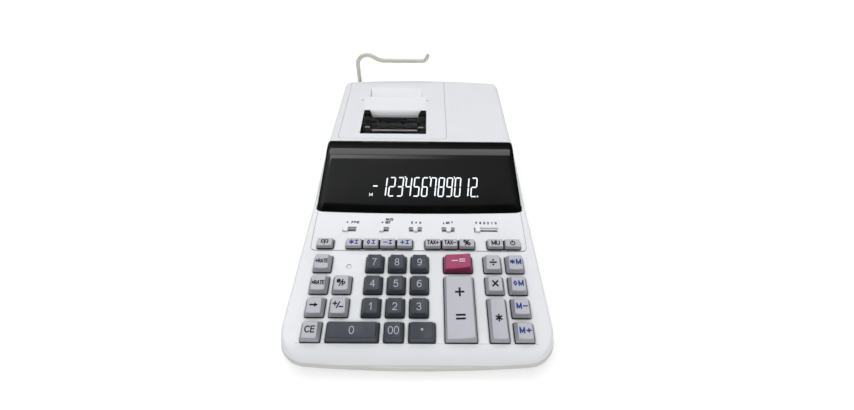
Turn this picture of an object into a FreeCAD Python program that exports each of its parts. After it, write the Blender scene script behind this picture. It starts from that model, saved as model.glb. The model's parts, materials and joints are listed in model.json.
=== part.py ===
"""Desktop printing calculator: a wedge case, a keypad, a display and a small printer.

The desk is z = 0, +X is the operator's right and +Y the back. Shapes are drawn about the
middle of the case, and the last step moves them so that the box round the whole object,
paper arm included, is centred on the origin.
"""
import FreeCAD
import Part
import math
import os

# Case
HALF_WIDTH = 110.0          # at the parting line
SIDE_DRAFT = 0.28           # each side leans in this much per mm of height
HALF_DEPTH = 163.5
REAR_DRAFT = 0.055
PARTING_Z = 9.5
BASE_Z = 2.5                # underside of the lower case
FRONT_BOW = 3.0
REAR_BOW = 5.0
FRONT_CORNER_R = 25.0
REAR_CORNER_R = 15.0
WALL = 2.5
DECK_EDGE_R = 5.0
PANEL_EDGE_R = 3.0

# Keypad plane: a line in the side view, which the key rows follow
KEY_SLOPE = math.radians(9.2)
KEY_Y = -149.9              # front edge of the first row's openings
KEY_Z = 23.4
ROW_PITCH = 19.05
WELL = 15.9                 # side of one key opening

# Deck over the printer
DECK_SLOPE = math.radians(1.51)
DECK_Y = 157.5
DECK_Z = 75.9

# Display bezel, in the side view
FACE_LOW = (-32.5, 45.0)
FACE_TOP = (13.5, 72.5)
DECK_EDGE = (38.6, 72.8)
BEZEL_FOOT_Y = -37.4
BEZEL_FOOT_R = 10.0
BEZEL_WALL = 3.0
BEZEL_BOW = 2.7
BEZEL_HALF_WIDTH = 97.65    # at the foot
BEZEL_FOOT_Z = 43.0
BEZEL_SIDE_DRAFT = 0.154
BEZEL_SIDE_R = 5.0
BEZEL_FLANGE = 5.0          # how much deeper its sides reach, over the case's shoulders

# Printer cover
COVER = (-84.1, 26.9, 42.9)   # left, right, front edge
COVER_GAP = 0.35
COVER_PLATE = 2.2
OUTLET = (-63.0, 6.0, 50.8, 94.5)
BRIDGE = (-65.6, 5.9)
CHUTE = (-59.6, 1.4)

# Paper arm: round wire, drawn in the plane y = ARM_Y
ARM_Y = 170.0
ARM_R = 2.4
ARM_PIVOT_Z = 50.0
ARM_LEG_X = -78.0
ARM_BAR_Z = 95.7
ARM_AXLE_END = -59.5
BRACKET = (-70.5, -62.0)
EYE_R = 5.0

# The drawing's middle is moved so that the whole depth, bracket included, is centred
FRAME_SHIFT = (HALF_DEPTH - ARM_Y - EYE_R) / 2

# Below the keypad panel, measured along its normal
GUIDE_TOP = -6.2
GUIDE_BOTTOM = -8.0
STEM_END = -9.4
DOME_TOP = -9.5
MAT_TOP = -12.7
BOARD_TOP = -13.7
BOARD_BOTTOM = -15.3
STEM = 4.6
FN_STEM = 3.6
STEM_GAP = 0.15
GUIDE_HALF_WIDTH = 93.8
BOARD_HALF_WIDTH = 93.0
CHIPS = ((0.0, 60.0, 20.0, 20.0), (34.0, 64.0, 10.0, 16.0), (-40.0, 62.0, 14.0, 9.0))
CHIP_HEIGHT = 2.2
CELL = (66.0, 62.0, 10.2, 4.0)   # memory cell: centre, radius, height
MAT_HALF_WIDTH = 91.5

# Key caps: heights off the panel
KEY_GAP = 0.5
SKIRT_END = -2.6
SHOULDER = 1.3
TOP_FRONT = 6.0
TOP_REAR = 7.3
SLANT_RISE = 2.2            # the two wide keys rise this much to the right
DISH = 0.55
TALLER = {"key_minus_equals": (1.4, 2.3)}   # extra height of the top's front and rear edges
TALLER_BACK_ROW = (0.2, 0.7)
SIDE_TAPER, FRONT_TAPER, REAR_TAPER = 2.0, 2.5, 1.0
FN_SKIRT_END = -2.4
FN_TOP = 4.0
FN_SPACE = 0.9              # between two small keys in one opening
FN_GAP = 0.4

# Slide switches
SLOT_V = (98.1, 103.4)
SLOT_MIDDLE = (SLOT_V[0] + SLOT_V[1]) / 2
SLOT_FLOOR = -1.4
KNOB = 4.1
KNOB_TOP = 2.2

# Lift-off lid: top lines as (y, drop below the deck)
LIP_LINE = [(91.0, 7.2), (92.0, 4.2), (93.2, 1.9), (94.6, 0.3)]
LIP_TOP = (-57.0, 0.0)      # the lip narrows toward its lower edge
LIP_END = (-53.7, -2.9)
LIP_PLATE = 2.6
BRIDGE_LINE = [(94.6, 0.3), (104.0, 0.15), (112.0, 0.0), (121.0, -0.4)]
LID_STRIP = 1.8
NOTCH = (110.5, 115.5, 2.4, 1.0)   # beside the bridge: front, rear, width, depth
CHUTE_LEAN = 0.3            # the chute's side walls lean in by this much per mm of depth
RAMP_LINE = [(111.0, 16.0), (122.0, 6.5), (142.0, 0.0)]
WINDOW_LINE = [(51.2, 6.6), (84.5, 0.2)]
RECESS_WALL = 1.5
RECESS_DEPTH = 7.0
BRIDGE_SIDE_DEPTH = 13.0
CHUTE_Y = (111.0, 120.0, 141.5)   # its side walls, the opening in the plate, its end
CHUTE_DEPTH = 17.0
TEAR_PLATE = 1.6
TOOTH = (2.0, 1.2, 0.8)     # pitch, width, length

# Display window: x, and distance up the face
WINDOW = (-56.0, 76.0, 8.0, 40.0)

# Printer
FRAME_WALLS = ((-62.4, -57.6), (0.6, 5.4))
FRAME_WALL_TOP = [(51.8, 11.0), (84.0, 5.2), (93.9, 5.2)]
FRAME_BASE = (-84.0, 27.0, 50.0, 122.0)
FRAME_BASE_Z = (30.0, 33.0)
GUIDE_Y = (80.0, 82.0)      # edge guides: back end of the thick part, start of the narrowing
GUIDE_WIDTH = (9.5, 5.5)
DRUM = (68.0, 52.0)
DRUM_R = 8.0
ROLLER = (88.0, 56.5)
SHAFT_ENDS = (-62.0, 5.0)
GUIDE_ROD = (71.1, 63.0, 1.25)
MOTOR = (-50.0, -16.0, 108.0, 44.0, 10.5)
SHAFT_R = 1.5
SHAFT_GAP = 0.05
SPOOLS = {"ribbon_spool_left": -73.5, "ribbon_spool_right": 16.5}
SPOOL_Y = 66.0
SPOOL_Z = (48.3, 62.2)
SPOOL_RIM = 1.2
SPOOL_RIM_R = 8.6
SPOOL_INK_R = 7.4
SPOOL_BORE_R = 2.0
TYPE_RINGS = (-56.0, -1.5, 3.6, 2.9)   # left, right, pitch, width
SLEEVES = (-54.0, -36.0, -18.0)
SLEEVE_LENGTH = 14.0
SLEEVE_R = 4.2
FRAME_LEGS = [(-78.0, 56.0), (21.0, 56.0), (-78.0, 116.0), (21.0, 116.0)]

# Fixings and openings of the case
SCREW_R = 1.5
SCREW_SPOTS = [(-98.5, -122), (98.5, -122), (-96, -8), (96, -8), (-96, 100), (96, 100)]
FOOT_SPOTS = [(-85, -140), (85, -140), (-85, 140), (85, 140)]
FOOT_R = 7.0
BOARD_REST_SPOTS = [(-50.0, -140.0), (50.0, -140.0), (0.0, -112.0), (-60.0, -60.0), (60.0, -60.0)]
TRANSFORMER_TAB_X = (42.8, 91.2)
TRANSFORMER_Y = 117.0
TRANSFORMER_Z = 9.0
INLET = (60.0, 20.0)
INLET_R = 3.6
GLAND_R = 7.0
GLAND_RIM_R = 9.0
OUTLINE = (95.8, 78.8, 0.6, 0.5)   # engraved line: half width, lower edge, width, depth

Vec = FreeCAD.Vector


# Small helpers

def box(x0, x1, y0, y1, z0, z1):
    return Part.makeBox(x1 - x0, y1 - y0, z1 - z0, Vec(x0, y0, z0))


def rod_x(x0, x1, y, z, r):
    return Part.makeCylinder(r, x1 - x0, Vec(x0, y, z), Vec(1, 0, 0))


def post(x, y, z0, z1, r):
    return Part.makeCylinder(r, z1 - z0, Vec(x, y, z0))


def fuse(shapes):
    return shapes[0].multiFuse(shapes[1:]).removeSplitter()


def cut(shape, tools):
    return shape.cut(Part.makeCompound(tools)) if tools else shape


def raised(face, along):
    """Extrude a face, with its solid turned the right way out."""
    solid = face.extrude(along)
    return solid if solid.Volume > 0 else solid.reversed()


def swung_mid(p, q, turn):
    """The middle point of an arc from p to q that bends right by turn degrees."""
    half = math.tan(math.radians(turn) / 4)
    dy, dz = q[0] - p[0], q[1] - p[1]
    return (p[0] + dy / 2 - dz / 2 * half, p[1] + dz / 2 + dy / 2 * half)


def side_prism(steps, x0, x1):
    """Extrude a closed side-view outline along X. A step (y, z) is a corner;
    a step (y, z, turn) is reached by an arc that bends right by turn degrees."""
    edges = []
    for a, b in zip(steps, steps[1:] + steps[:1]):
        start, end = Vec(x0, a[0], a[1]), Vec(x0, b[0], b[1])
        if start.distanceToPoint(end) < 1e-6:
            continue
        if len(b) == 3:
            mid = swung_mid(a, b, b[2])
            edges.append(Part.Arc(start, Vec(x0, mid[0], mid[1]), end).toShape())
        else:
            edges.append(Part.LineSegment(start, end).toShape())
    return raised(Part.Face(Part.Wire(edges)), Vec(x1 - x0, 0, 0))


def rounded_wire(x0, x1, y0, y1, r, z):
    c = r * (1 - math.sqrt(0.5))
    line, arc = Part.LineSegment, Part.Arc
    return Part.Wire([
        line(Vec(x0 + r, y0, z), Vec(x1 - r, y0, z)).toShape(),
        arc(Vec(x1 - r, y0, z), Vec(x1 - c, y0 + c, z), Vec(x1, y0 + r, z)).toShape(),
        line(Vec(x1, y0 + r, z), Vec(x1, y1 - r, z)).toShape(),
        arc(Vec(x1, y1 - r, z), Vec(x1 - c, y1 - c, z), Vec(x1 - r, y1, z)).toShape(),
        line(Vec(x1 - r, y1, z), Vec(x0 + r, y1, z)).toShape(),
        arc(Vec(x0 + r, y1, z), Vec(x0 + c, y1 - c, z), Vec(x0, y1 - r, z)).toShape(),
        line(Vec(x0, y1 - r, z), Vec(x0, y0 + r, z)).toShape(),
        arc(Vec(x0, y0 + r, z), Vec(x0 + c, y0 + c, z), Vec(x0 + r, y0, z)).toShape(),
    ])


def plate(x0, x1, y0, y1, r, z0, z1):
    """A flat plate with rounded upright corners."""
    return raised(Part.Face(rounded_wire(x0, x1, y0, y1, r, z0)), Vec(0, 0, z1 - z0))


def taper(low, high):
    return Part.makeLoft([low, high], True, True)


def to_keypad(shape):
    """Move a shape drawn flat, with y up the slope and z off the panel, to the keypad."""
    shape = shape.copy()
    shape.rotate(Vec(0, 0, 0), Vec(1, 0, 0), math.degrees(KEY_SLOPE))
    shape.translate(Vec(0, KEY_Y, KEY_Z))
    return shape


FACE_ANGLE = math.atan2(FACE_TOP[1] - FACE_LOW[1], FACE_TOP[0] - FACE_LOW[0])


def to_face(shape):
    """Move a shape drawn flat, with y up the display face and z off it, to the face."""
    shape = shape.copy()
    shape.rotate(Vec(0, 0, 0), Vec(1, 0, 0), math.degrees(FACE_ANGLE))
    shape.translate(Vec(0, FACE_LOW[0], FACE_LOW[1]))
    return shape


def keypad_z(y):
    return KEY_Z + math.tan(KEY_SLOPE) * (y - KEY_Y)


def deck_z(y):
    return DECK_Z + math.tan(DECK_SLOPE) * (y - DECK_Y)


# Case outline, used at several insets for the shell, the lid and the ledges

SOLID_FLOOR = -5.0


def half_width(z):
    return HALF_WIDTH - SIDE_DRAFT * (z - PARTING_Z)


def bowed(middle_y, bow, half_span, inset, lean=0.0):
    """A huge upright cylinder whose near side makes a gently bowed end wall."""
    radius = (half_span ** 2 + bow ** 2) / (2 * bow) - inset
    toward = 1.0 if middle_y < 0 else -1.0
    axis = Vec(0, -lean, 1.0)
    centre = Vec(0, middle_y + toward * (inset + radius), PARTING_Z) - axis * 200.0
    drum = Part.makeCylinder(radius, 500.0, centre, axis)
    drum.rotate(centre, axis, 90.0)
    return drum


def plan_block(inset):
    """The case seen from above, with leaning sides and bowed ends."""
    low, high = half_width(-5.0) - inset, half_width(90.0) - inset
    reach = HALF_DEPTH + 10.0
    outline = [Vec(-low, -reach, -5), Vec(low, -reach, -5), Vec(high, -reach, 90), Vec(-high, -reach, 90)]
    body = raised(Part.Face(Part.makePolygon(outline + outline[:1])), Vec(0, 2 * reach, 0))
    body = body.common(bowed(-HALF_DEPTH, FRONT_BOW, 85.0, inset))
    body = body.common(bowed(HALF_DEPTH, REAR_BOW, 90.0, inset, REAR_DRAFT))
    return body.Solids[0]


def plan_body(inset):
    """The same block with its four upright corners rounded."""
    solid = plan_block(inset)
    for near, radius in ((-1, FRONT_CORNER_R), (1, REAR_CORNER_R)):
        corners = [e for e in solid.Edges if e.BoundBox.ZLength > 90 and e.CenterOfMass.y * near > 100]
        solid = try_fillet(solid, radius - inset, corners)
    return solid


def try_fillet(shape, radius, edges):
    rounded = shape.makeFillet(radius, edges)
    if not rounded.isValid() or rounded.Volume > shape.Volume:
        raise ValueError("a rounded edge failed")
    return rounded


def keypad_wedge(inset):
    """The low front part: a soft front roll, then the keypad plane."""
    drop = inset / math.cos(KEY_SLOPE)
    front, back = -HALF_DEPTH - 5.0, 0.0
    roll = -146.0 + inset * 0.6
    wedge = side_prism([
        (front, SOLID_FLOOR),
        (front, PARTING_Z - inset),
        (-HALF_DEPTH + 1.2 + inset, PARTING_Z + 1.5 - inset),
        (roll, keypad_z(roll) - drop, 58.0),
        (back, keypad_z(back) - drop),
        (back, SOLID_FLOOR),
    ], -130.0, 130.0).common(plan_body(inset))
    if inset:
        return wedge
    return try_fillet(wedge, PANEL_EDGE_R, long_top_edges(wedge))


def deck_block(inset):
    """The tall back part under the flat deck."""
    front = DECK_EDGE[0] + inset
    drop = inset / math.cos(DECK_SLOPE)
    block = side_prism([
        (front, SOLID_FLOOR),
        (front, deck_z(front) - drop),
        (HALF_DEPTH + 10.0, deck_z(HALF_DEPTH + 10.0) - drop),
        (HALF_DEPTH + 10.0, SOLID_FLOOR),
    ], -130.0, 130.0)
    if inset:
        return block.common(plan_body(inset))
    block = block.common(plan_block(inset))
    return try_fillet(block, DECK_EDGE_R, long_top_edges(block)).common(plan_body(inset))


def long_top_edges(shape):
    """Edges round the rim of the top face that run toward the back."""
    top = max(shape.Faces, key=lambda f: f.normalAt(0, 0).z * f.Area)
    return [e for e in top.Edges if e.BoundBox.YLength > 0.5]


def bezel_body(inset):
    """Everything under the display bezel's face, moved in by inset."""
    a = FACE_ANGLE
    low = (FACE_LOW[0] - 8.0 + inset * math.sin(a), FACE_LOW[1] - 8.0 * math.tan(a) - inset * math.cos(a))
    top_tangent = a - math.radians(10.0)
    normal = (a + top_tangent) / 2
    top = (FACE_TOP[0] + inset * math.sin(normal), FACE_TOP[1] - inset * math.cos(normal))
    end = (DECK_EDGE[0] - inset * math.sin(math.radians(19.0)),
           DECK_EDGE[1] - inset * math.cos(math.radians(19.0)))
    prism = side_prism([
        (low[0], SOLID_FLOOR),
        low,
        top,
        (end[0], end[1], 42.0),
        (end[0] + 14.0, end[1] - 10.0),
        (end[0] + 14.0, SOLID_FLOOR),
    ], -130.0, 130.0)
    radius = (BEZEL_HALF_WIDTH ** 2 + BEZEL_BOW ** 2) / (2 * BEZEL_BOW) - inset
    foot = Part.makeCylinder(radius, 120.0, Vec(0, BEZEL_FOOT_Y + inset + radius, -10.0))
    foot.rotate(Vec(0, BEZEL_FOOT_Y + inset + radius, 0), Vec(0, 0, 1), 90.0)
    return prism.common(foot)


def bezel_sides(inset):
    """Everything between the bezel's leaning side walls, moved in by inset."""
    low_z, high_z = SOLID_FLOOR, 90.0
    low = BEZEL_HALF_WIDTH - BEZEL_SIDE_DRAFT * (low_z - BEZEL_FOOT_Z) - inset
    high = BEZEL_HALF_WIDTH - BEZEL_SIDE_DRAFT * (high_z - BEZEL_FOOT_Z) - inset
    outline = [Vec(-low, -60, low_z), Vec(low, -60, low_z), Vec(high, -60, high_z), Vec(-high, -60, high_z)]
    return raised(Part.Face(Part.makePolygon(outline + outline[:1])), Vec(0, 160, 0))


def case_hump(inset):
    """The case under the bezel: a crest, and lower shoulders that the bezel's sides reach down to."""
    crest = bezel_body(BEZEL_WALL + inset).common(bezel_sides(BEZEL_WALL + inset))
    shoulders = bezel_body(BEZEL_WALL + BEZEL_FLANGE + inset)
    return fuse([crest, shoulders]).common(plan_body(inset))


def case_body(inset):
    return fuse([keypad_wedge(inset), case_hump(inset), deck_block(inset)])


# Keypad layout: name, column centre, row, width, rows high

COLUMN = {"a": -81.65, "b": -62.7, "c": -37.2, "d": -18.15, "e": 0.9, "f": 33.6, "g": 63.15, "h": 82.2}
WIDE_ZERO = ((COLUMN["b"] + COLUMN["c"]) / 2, COLUMN["c"] - COLUMN["b"] + WELL)
WIDE_F = 25.5
POINT = (3.55, 21.2)

KEYS = [
    ("key_clear", COLUMN["a"], 0, WELL, 1),
    ("key_0", WIDE_ZERO[0], 0, WIDE_ZERO[1], 1),
    ("key_00", COLUMN["d"], 0, WELL, 1),
    ("key_point", POINT[0], 0, POINT[1], 1),
    ("key_plus_equals", COLUMN["f"], 0, WIDE_F, 3),
    ("key_total", COLUMN["g"], 0, WELL, 2),
    ("key_memory_plus", COLUMN["h"], 0, WELL, 1),
    ("key_shift", COLUMN["a"], 1, WELL, 1),
    ("key_sign", COLUMN["b"], 1, WELL, 1),
    ("key_1", COLUMN["c"], 1, WELL, 1),
    ("key_2", COLUMN["d"], 1, WELL, 1),
    ("key_3", COLUMN["e"], 1, WELL, 1),
    ("key_memory_minus", COLUMN["h"], 1, WELL, 1),
    ("key_rate_times", COLUMN["a"], 2, WELL, 1),
    ("key_print_date", COLUMN["b"], 2, WELL, 1),
    ("key_4", COLUMN["c"], 2, WELL, 1),
    ("key_5", COLUMN["d"], 2, WELL, 1),
    ("key_6", COLUMN["e"], 2, WELL, 1),
    ("key_times", COLUMN["g"], 2, WELL, 1),
    ("key_memory_subtotal", COLUMN["h"], 2, WELL, 1),
    ("key_rate_divide", COLUMN["a"], 3, WELL, 1),
    ("key_7", COLUMN["c"], 3, WELL, 1),
    ("key_8", COLUMN["d"], 3, WELL, 1),
    ("key_9", COLUMN["e"], 3, WELL, 1),
    ("key_minus_equals", COLUMN["f"], 3, WIDE_F, 1),
    ("key_divide", COLUMN["g"], 3, WELL, 1),
    ("key_memory_total", COLUMN["h"], 3, WELL, 1),
]

# Function row: each opening holds one or more small keys side by side
FN_ROW_V = 80.1             # front edge of the openings, up the slope
FN_DEPTH = 9.4
FN_GROUPS = [
    ((-90.2, -75.2), ["key_feed"]),
    ((-64.6, -5.1), ["key_grand_total", "key_grand_subtotal", "key_grand_minus", "key_grand_plus"]),
    ((5.0, 49.8), ["key_tax_plus", "key_tax_minus", "key_percent"]),
    ((60.1, 90.2), ["key_markup", "key_power"]),
]

# Slide switches: name, slot ends, knob centre
SWITCHES = [
    ("switch_print", -69.8, -57.3, -66.9),
    ("switch_rate", -36.5, -27.5, -34.3),
    ("switch_constant", -9.5, 2.7, -3.4),
    ("switch_rounding", 20.5, 32.6, 26.8),
    ("switch_decimal", 50.1, 72.4, 53.4),
]

RESET_SPOT = (-59.5, 63.5)
RESET_R = 2.1
RESET_PIN_R = 1.8
RESET_TOP = -0.5            # pressed with a pen tip, so it stays below the panel
INNER_POSTS = [(-50.4, 25.0), (-50.4, 65.0), (50.9, 8.0), (50.9, 65.0), (15.0, 65.0)]
OUTER_POSTS = [(-92.0, 8.0), (-92.0, 65.0), (92.0, 8.0), (92.0, 65.0)]


def row_v(row, rows=1):
    """Front edge and length of an opening, up the slope."""
    return row * ROW_PITCH, (rows - 1) * ROW_PITCH + WELL


def stem_spots(x, v, width, depth):
    """Where a key's stems stand: one in the middle, or two on a long key."""
    middle = v + depth / 2
    if width > 30:
        return [(x - 12.0, middle), (x + 12.0, middle)]
    if depth > 20:
        reach = (depth - WELL) / 2
        return [(x, middle - reach), (x, middle + reach)]
    if width > 24:
        return [(x - 6.0, middle), (x + 6.0, middle)]
    return [(x, middle)]


def all_stems():
    spots = []
    for _, x, row, width, rows in KEYS:
        v, depth = row_v(row, rows)
        spots += [(s, STEM) for s in stem_spots(x, v, width, depth)]
    for (left, right), names in FN_GROUPS:
        pitch = (right - left) / len(names)
        for i in range(len(names)):
            spots.append(((left + pitch * (i + 0.5), FN_ROW_V + FN_DEPTH / 2), FN_STEM))
    return spots


# Key caps

def dish_tool(x, v, width, depth, front_h, rear_h, slant):
    """A large cylinder along the key that hollows its top, rising to the back."""
    half = width / 2
    radius = (half * half + DISH * DISH) / (2 * DISH)
    length = depth + 30.0
    rise = math.atan2(rear_h - front_h, depth)
    tool = Part.makeCylinder(radius, length, Vec(0, -length / 2, 0), Vec(0, 1, 0))
    tool.translate(Vec(0, 0, radius - DISH))
    above = Part.makeBox(120.0, length, 40.0, Vec(-60.0, -length / 2, 1.2))
    tool = tool.fuse(above)
    tool.rotate(Vec(0, 0, 0), Vec(0, 1, 0), -math.degrees(math.atan2(slant, width)))
    tool.rotate(Vec(0, 0, 0), Vec(1, 0, 0), math.degrees(rise))
    tool.translate(Vec(x, v + depth / 2, (front_h + rear_h) / 2))
    return tool


def key_cap(x, v, width, depth, top_front, top_rear, slant):
    """One key: a square skirt, a tapering cap with a dished top, and its stems."""
    x0, x1 = x - width / 2 + KEY_GAP, x + width / 2 - KEY_GAP
    v0, v1 = v + KEY_GAP, v + depth - KEY_GAP
    skirt = plate(x0, x1, v0, v1, 1.1, SKIRT_END, SHOULDER)
    reach = top_rear + slant / 2 + 1.2
    grow = (reach - SHOULDER) / (top_rear - SHOULDER)
    low = rounded_wire(x0 + 0.15, x1 - 0.15, v0 + 0.15, v1 - 0.15, 1.1, SHOULDER)
    high = rounded_wire(x0 + SIDE_TAPER * grow, x1 - SIDE_TAPER * grow,
                        v0 + FRONT_TAPER * grow, v1 - REAR_TAPER * grow, 0.9, reach)
    cap = taper(low, high)
    top_w, top_d = x1 - x0 - 2 * SIDE_TAPER, v1 - v0 - FRONT_TAPER - REAR_TAPER
    dish = dish_tool(x, v0 + FRONT_TAPER, top_w, top_d, top_front, top_rear, slant)
    cap = cap.cut(dish)
    room = plate(x0 + 1.2, x1 - 1.2, v0 + 1.2, v1 - 1.2, 0.6, SKIRT_END - 1.0, SHOULDER)
    roof = taper(rounded_wire(x0 + 1.3, x1 - 1.3, v0 + 1.3, v1 - 1.3, 0.5, SHOULDER),
                 rounded_wire(x0 + 2.6, x1 - 2.6, v0 + 3.0, v1 - 2.0, 0.5, 4.2))
    shell = fuse([skirt, cap]).cut(room).cut(roof)
    stems = [box(sx - STEM / 2, sx + STEM / 2, sv - STEM / 2, sv + STEM / 2, STEM_END, 4.6)
             for sx, sv in stem_spots(x, v, width, depth)]
    return fuse([shell] + stems)


def function_cap(x, width):
    """A small key: an upright cap with a sloped front and a flat top."""
    v0, v1 = FN_ROW_V + FN_GAP, FN_ROW_V + FN_DEPTH - FN_GAP
    x0, x1 = x - width / 2, x + width / 2
    skirt = plate(x0, x1, v0, v1, 0.7, FN_SKIRT_END, 0.6)
    cap = taper(rounded_wire(x0, x1, v0, v1, 0.7, 0.6),
                rounded_wire(x0 + 0.7, x1 - 0.7, v0 + 1.1, v1 - 0.5, 0.6, FN_TOP))
    room = plate(x0 + 1.1, x1 - 1.1, v0 + 1.1, v1 - 1.1, 0.4, FN_SKIRT_END - 1.0, 2.4)
    middle = FN_ROW_V + FN_DEPTH / 2
    half = FN_STEM / 2
    stem = box(x - half, x + half, middle - half, middle + half, STEM_END, 2.8)
    return fuse([fuse([skirt, cap]).cut(room), stem])


def make_keys():
    parts = {}
    for name, x, row, width, rows in KEYS:
        v, depth = row_v(row, rows)
        slant = SLANT_RISE if width == WIDE_F else 0.0
        more = TALLER.get(name, TALLER_BACK_ROW if row == 3 else (0.0, 0.0))
        cap = key_cap(x, v, width, depth, TOP_FRONT + more[0], TOP_REAR + more[1], slant)
        parts[name] = to_keypad(cap)
    for (left, right), names in FN_GROUPS:
        pitch = (right - left) / len(names)
        for i, name in enumerate(names):
            parts[name] = to_keypad(function_cap(left + pitch * (i + 0.5), pitch - FN_SPACE))
    return parts


def make_knobs():
    """Slide-switch knobs: a square tip in the slot and a stem through the slit below it."""
    parts = {}
    v = SLOT_MIDDLE
    for name, _, _, x in SWITCHES:
        tip = plate(x - KNOB / 2, x + KNOB / 2, v - 2.35, v + 2.35, 0.5, SLOT_FLOOR + 0.2, KNOB_TOP)
        stem = box(x - 0.9, x + 0.9, v - 0.6, v + 0.6, -7.0, KNOB_TOP - 1.0)
        parts[name] = to_keypad(fuse([tip, stem]))
    return parts


def make_guide_plate():
    """Black plate under the panel with a square hole for each stem."""
    body = plate(-GUIDE_HALF_WIDTH, GUIDE_HALF_WIDTH, -3.5, 93.0, 3.0, GUIDE_BOTTOM, GUIDE_TOP)
    holes = []
    for (x, v), size in all_stems():
        half = size / 2 + STEM_GAP
        holes.append(box(x - half, x + half, v - half, v + half, GUIDE_BOTTOM - 1, GUIDE_TOP + 1))
    posts = [post(x, v, MAT_TOP, -WALL, 2.2) for x, v in INNER_POSTS]
    posts += [post(x, v, GUIDE_TOP, -WALL, 1.7) for x, v in OUTER_POSTS]
    body = cut(fuse([body] + posts), holes)
    reset = post(RESET_SPOT[0], RESET_SPOT[1], GUIDE_BOTTOM - 1, GUIDE_TOP + 1, RESET_R)
    return to_keypad(body.cut(reset))


def make_key_mat():
    """Rubber sheet with a dome below each stem."""
    sheet = plate(-MAT_HALF_WIDTH, MAT_HALF_WIDTH, -2.0, 92.0, 2.0, BOARD_TOP, MAT_TOP)
    domes = []
    for (x, v), size in all_stems():
        wide = 4.0 if size == STEM else 3.2
        domes.append(Part.makeCone(wide, wide - 1.2, DOME_TOP - MAT_TOP, Vec(x, v, MAT_TOP)))
    reset = post(RESET_SPOT[0], RESET_SPOT[1], BOARD_TOP - 1, MAT_TOP + 1, 4.8)
    return to_keypad(fuse([sheet] + domes).cut(reset))


def make_main_board():
    """Circuit board with chips on its back, slide-switch bodies, tall reset switch and cell."""
    pieces = [plate(-BOARD_HALF_WIDTH, BOARD_HALF_WIDTH, -3.0, 108.0, 2.0, BOARD_BOTTOM, BOARD_TOP)]
    for _, left, right, _ in SWITCHES:
        pieces.append(box(left - 2.0, right + 2.0, SLOT_MIDDLE - 3.5, SLOT_MIDDLE + 3.5, BOARD_TOP, -7.6))
    x, v = RESET_SPOT
    pieces.append(box(x - 3.0, x + 3.0, v - 3.0, v + 3.0, BOARD_TOP, -11.0))
    pieces.append(post(x, v, -11.0, RESET_TOP, RESET_PIN_R))
    for cx, cv, w, d in CHIPS:
        low = BOARD_BOTTOM - CHIP_HEIGHT
        pieces.append(box(cx - w / 2, cx + w / 2, cv - d / 2, cv + d / 2, low, BOARD_BOTTOM))
    cell_x, cell_v, cell_r, cell_height = CELL
    pieces.append(post(cell_x, cell_v, BOARD_BOTTOM - cell_height, BOARD_BOTTOM, cell_r))
    screw_holes = [post(px, pv, BOARD_BOTTOM - 1, BOARD_TOP + 1, 1.6) for px, pv in INNER_POSTS]
    return to_keypad(cut(fuse(pieces), screw_holes))


# Display

def make_bezel():
    """Glossy cap over the display: a rolled foot, soft side edges and deeper sides."""
    body = bezel_body(0.0).common(bezel_sides(0.0)).Solids[0]
    foot = [e for e in body.Edges
            if e.BoundBox.YMax < FACE_LOW[0] + 4.0 and e.BoundBox.ZMin > 30.0 and e.BoundBox.XLength > 100.0]
    body = try_fillet(body, BEZEL_FOOT_R, foot)
    sides = []
    for edge in body.Edges:
        b = edge.BoundBox
        if b.XLength < 8.0 and b.ZMax > 20.0 and b.YMin < DECK_EDGE[0] + 8.0:
            sides.append(edge)
    body = try_fillet(body, BEZEL_SIDE_R, sides)
    below = side_prism([(-60.0, SOLID_FLOOR), (-60.0, keypad_z(-60.0) + 0.1), (0.0, keypad_z(0.0) + 0.1),
                        (0.0, SOLID_FLOOR)], -130.0, 130.0)
    crest = bezel_body(BEZEL_WALL - 0.1).common(bezel_sides(BEZEL_WALL - 0.1))
    shoulders = bezel_body(BEZEL_WALL + BEZEL_FLANGE - 0.1)
    front_half = box(-130.0, 130.0, -60.0, DECK_EDGE[0] - 0.2, 0.0, 100.0)
    return body.cut(crest).cut(shoulders).cut(below).common(front_half)


def make_display_module():
    """Digit panel in its window, on a small board behind."""
    x0, x1, s0, s1 = WINDOW
    panel = box(x0 + 0.5, x1 - 0.5, s0 + 0.5, s1 - 0.5, -BEZEL_WALL - 4.4, -BEZEL_WALL - 0.4)
    board = box(x0 - 6.0, x1 + 6.0, s0 - 2.0, s1 + 3.0, -BEZEL_WALL - 5.8, -BEZEL_WALL - 4.4)
    return to_face(fuse([panel, board]))


# Printer cover

def strip(points, thick, x0, x1):
    """A bent strip: its top line follows points (y, drop below the deck)."""
    top = [(y, deck_z(y) - drop) for y, drop in points]
    bottom = [(y, z - thick) for y, z in reversed(top)]
    return side_prism(top + bottom, x0, x1)


def lid_blank(gap):
    left, right, front = COVER
    return plate(left - gap, right + gap, front - gap, 220.0, 4.5, 64.0, 90.0)


def edge_guides():
    """Two dark blocks at the sides of the outlet, narrowing the paper's way."""
    x0, x1, _, y1 = OUTLET
    blocks = []
    for side in (-1, 1):
        wall = x0 + 0.5 if side < 0 else x1 - 0.5
        tip, near = (wall - side * wide for wide in GUIDE_WIDTH)
        start, thick = GUIDE_Y
        pts = [(wall, y1 - 0.4), (near, y1 - 0.4), (tip, thick), (tip, start), (wall, start)]
        face = Part.Face(Part.makePolygon([Vec(x, y, 55.0) for x, y in pts + pts[:1]]))
        blocks.append(raised(face, Vec(0, 0, 40.0)))
    return blocks


def lip():
    """The bridge's front edge, bent down to the paper and narrowing on the way."""
    (end_y, _), (top_y, _) = LIP_LINE[0], LIP_LINE[-1]
    plan = [Vec(LIP_END[0], end_y, 40), Vec(LIP_END[1], end_y, 40),
            Vec(LIP_TOP[1], top_y, 40), Vec(LIP_TOP[0], top_y, 40)]
    plan = raised(Part.Face(Part.makePolygon(plan + plan[:1])), Vec(0, 0, 50))
    return strip(LIP_LINE, LIP_PLATE, *LIP_TOP).common(plan)


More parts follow.
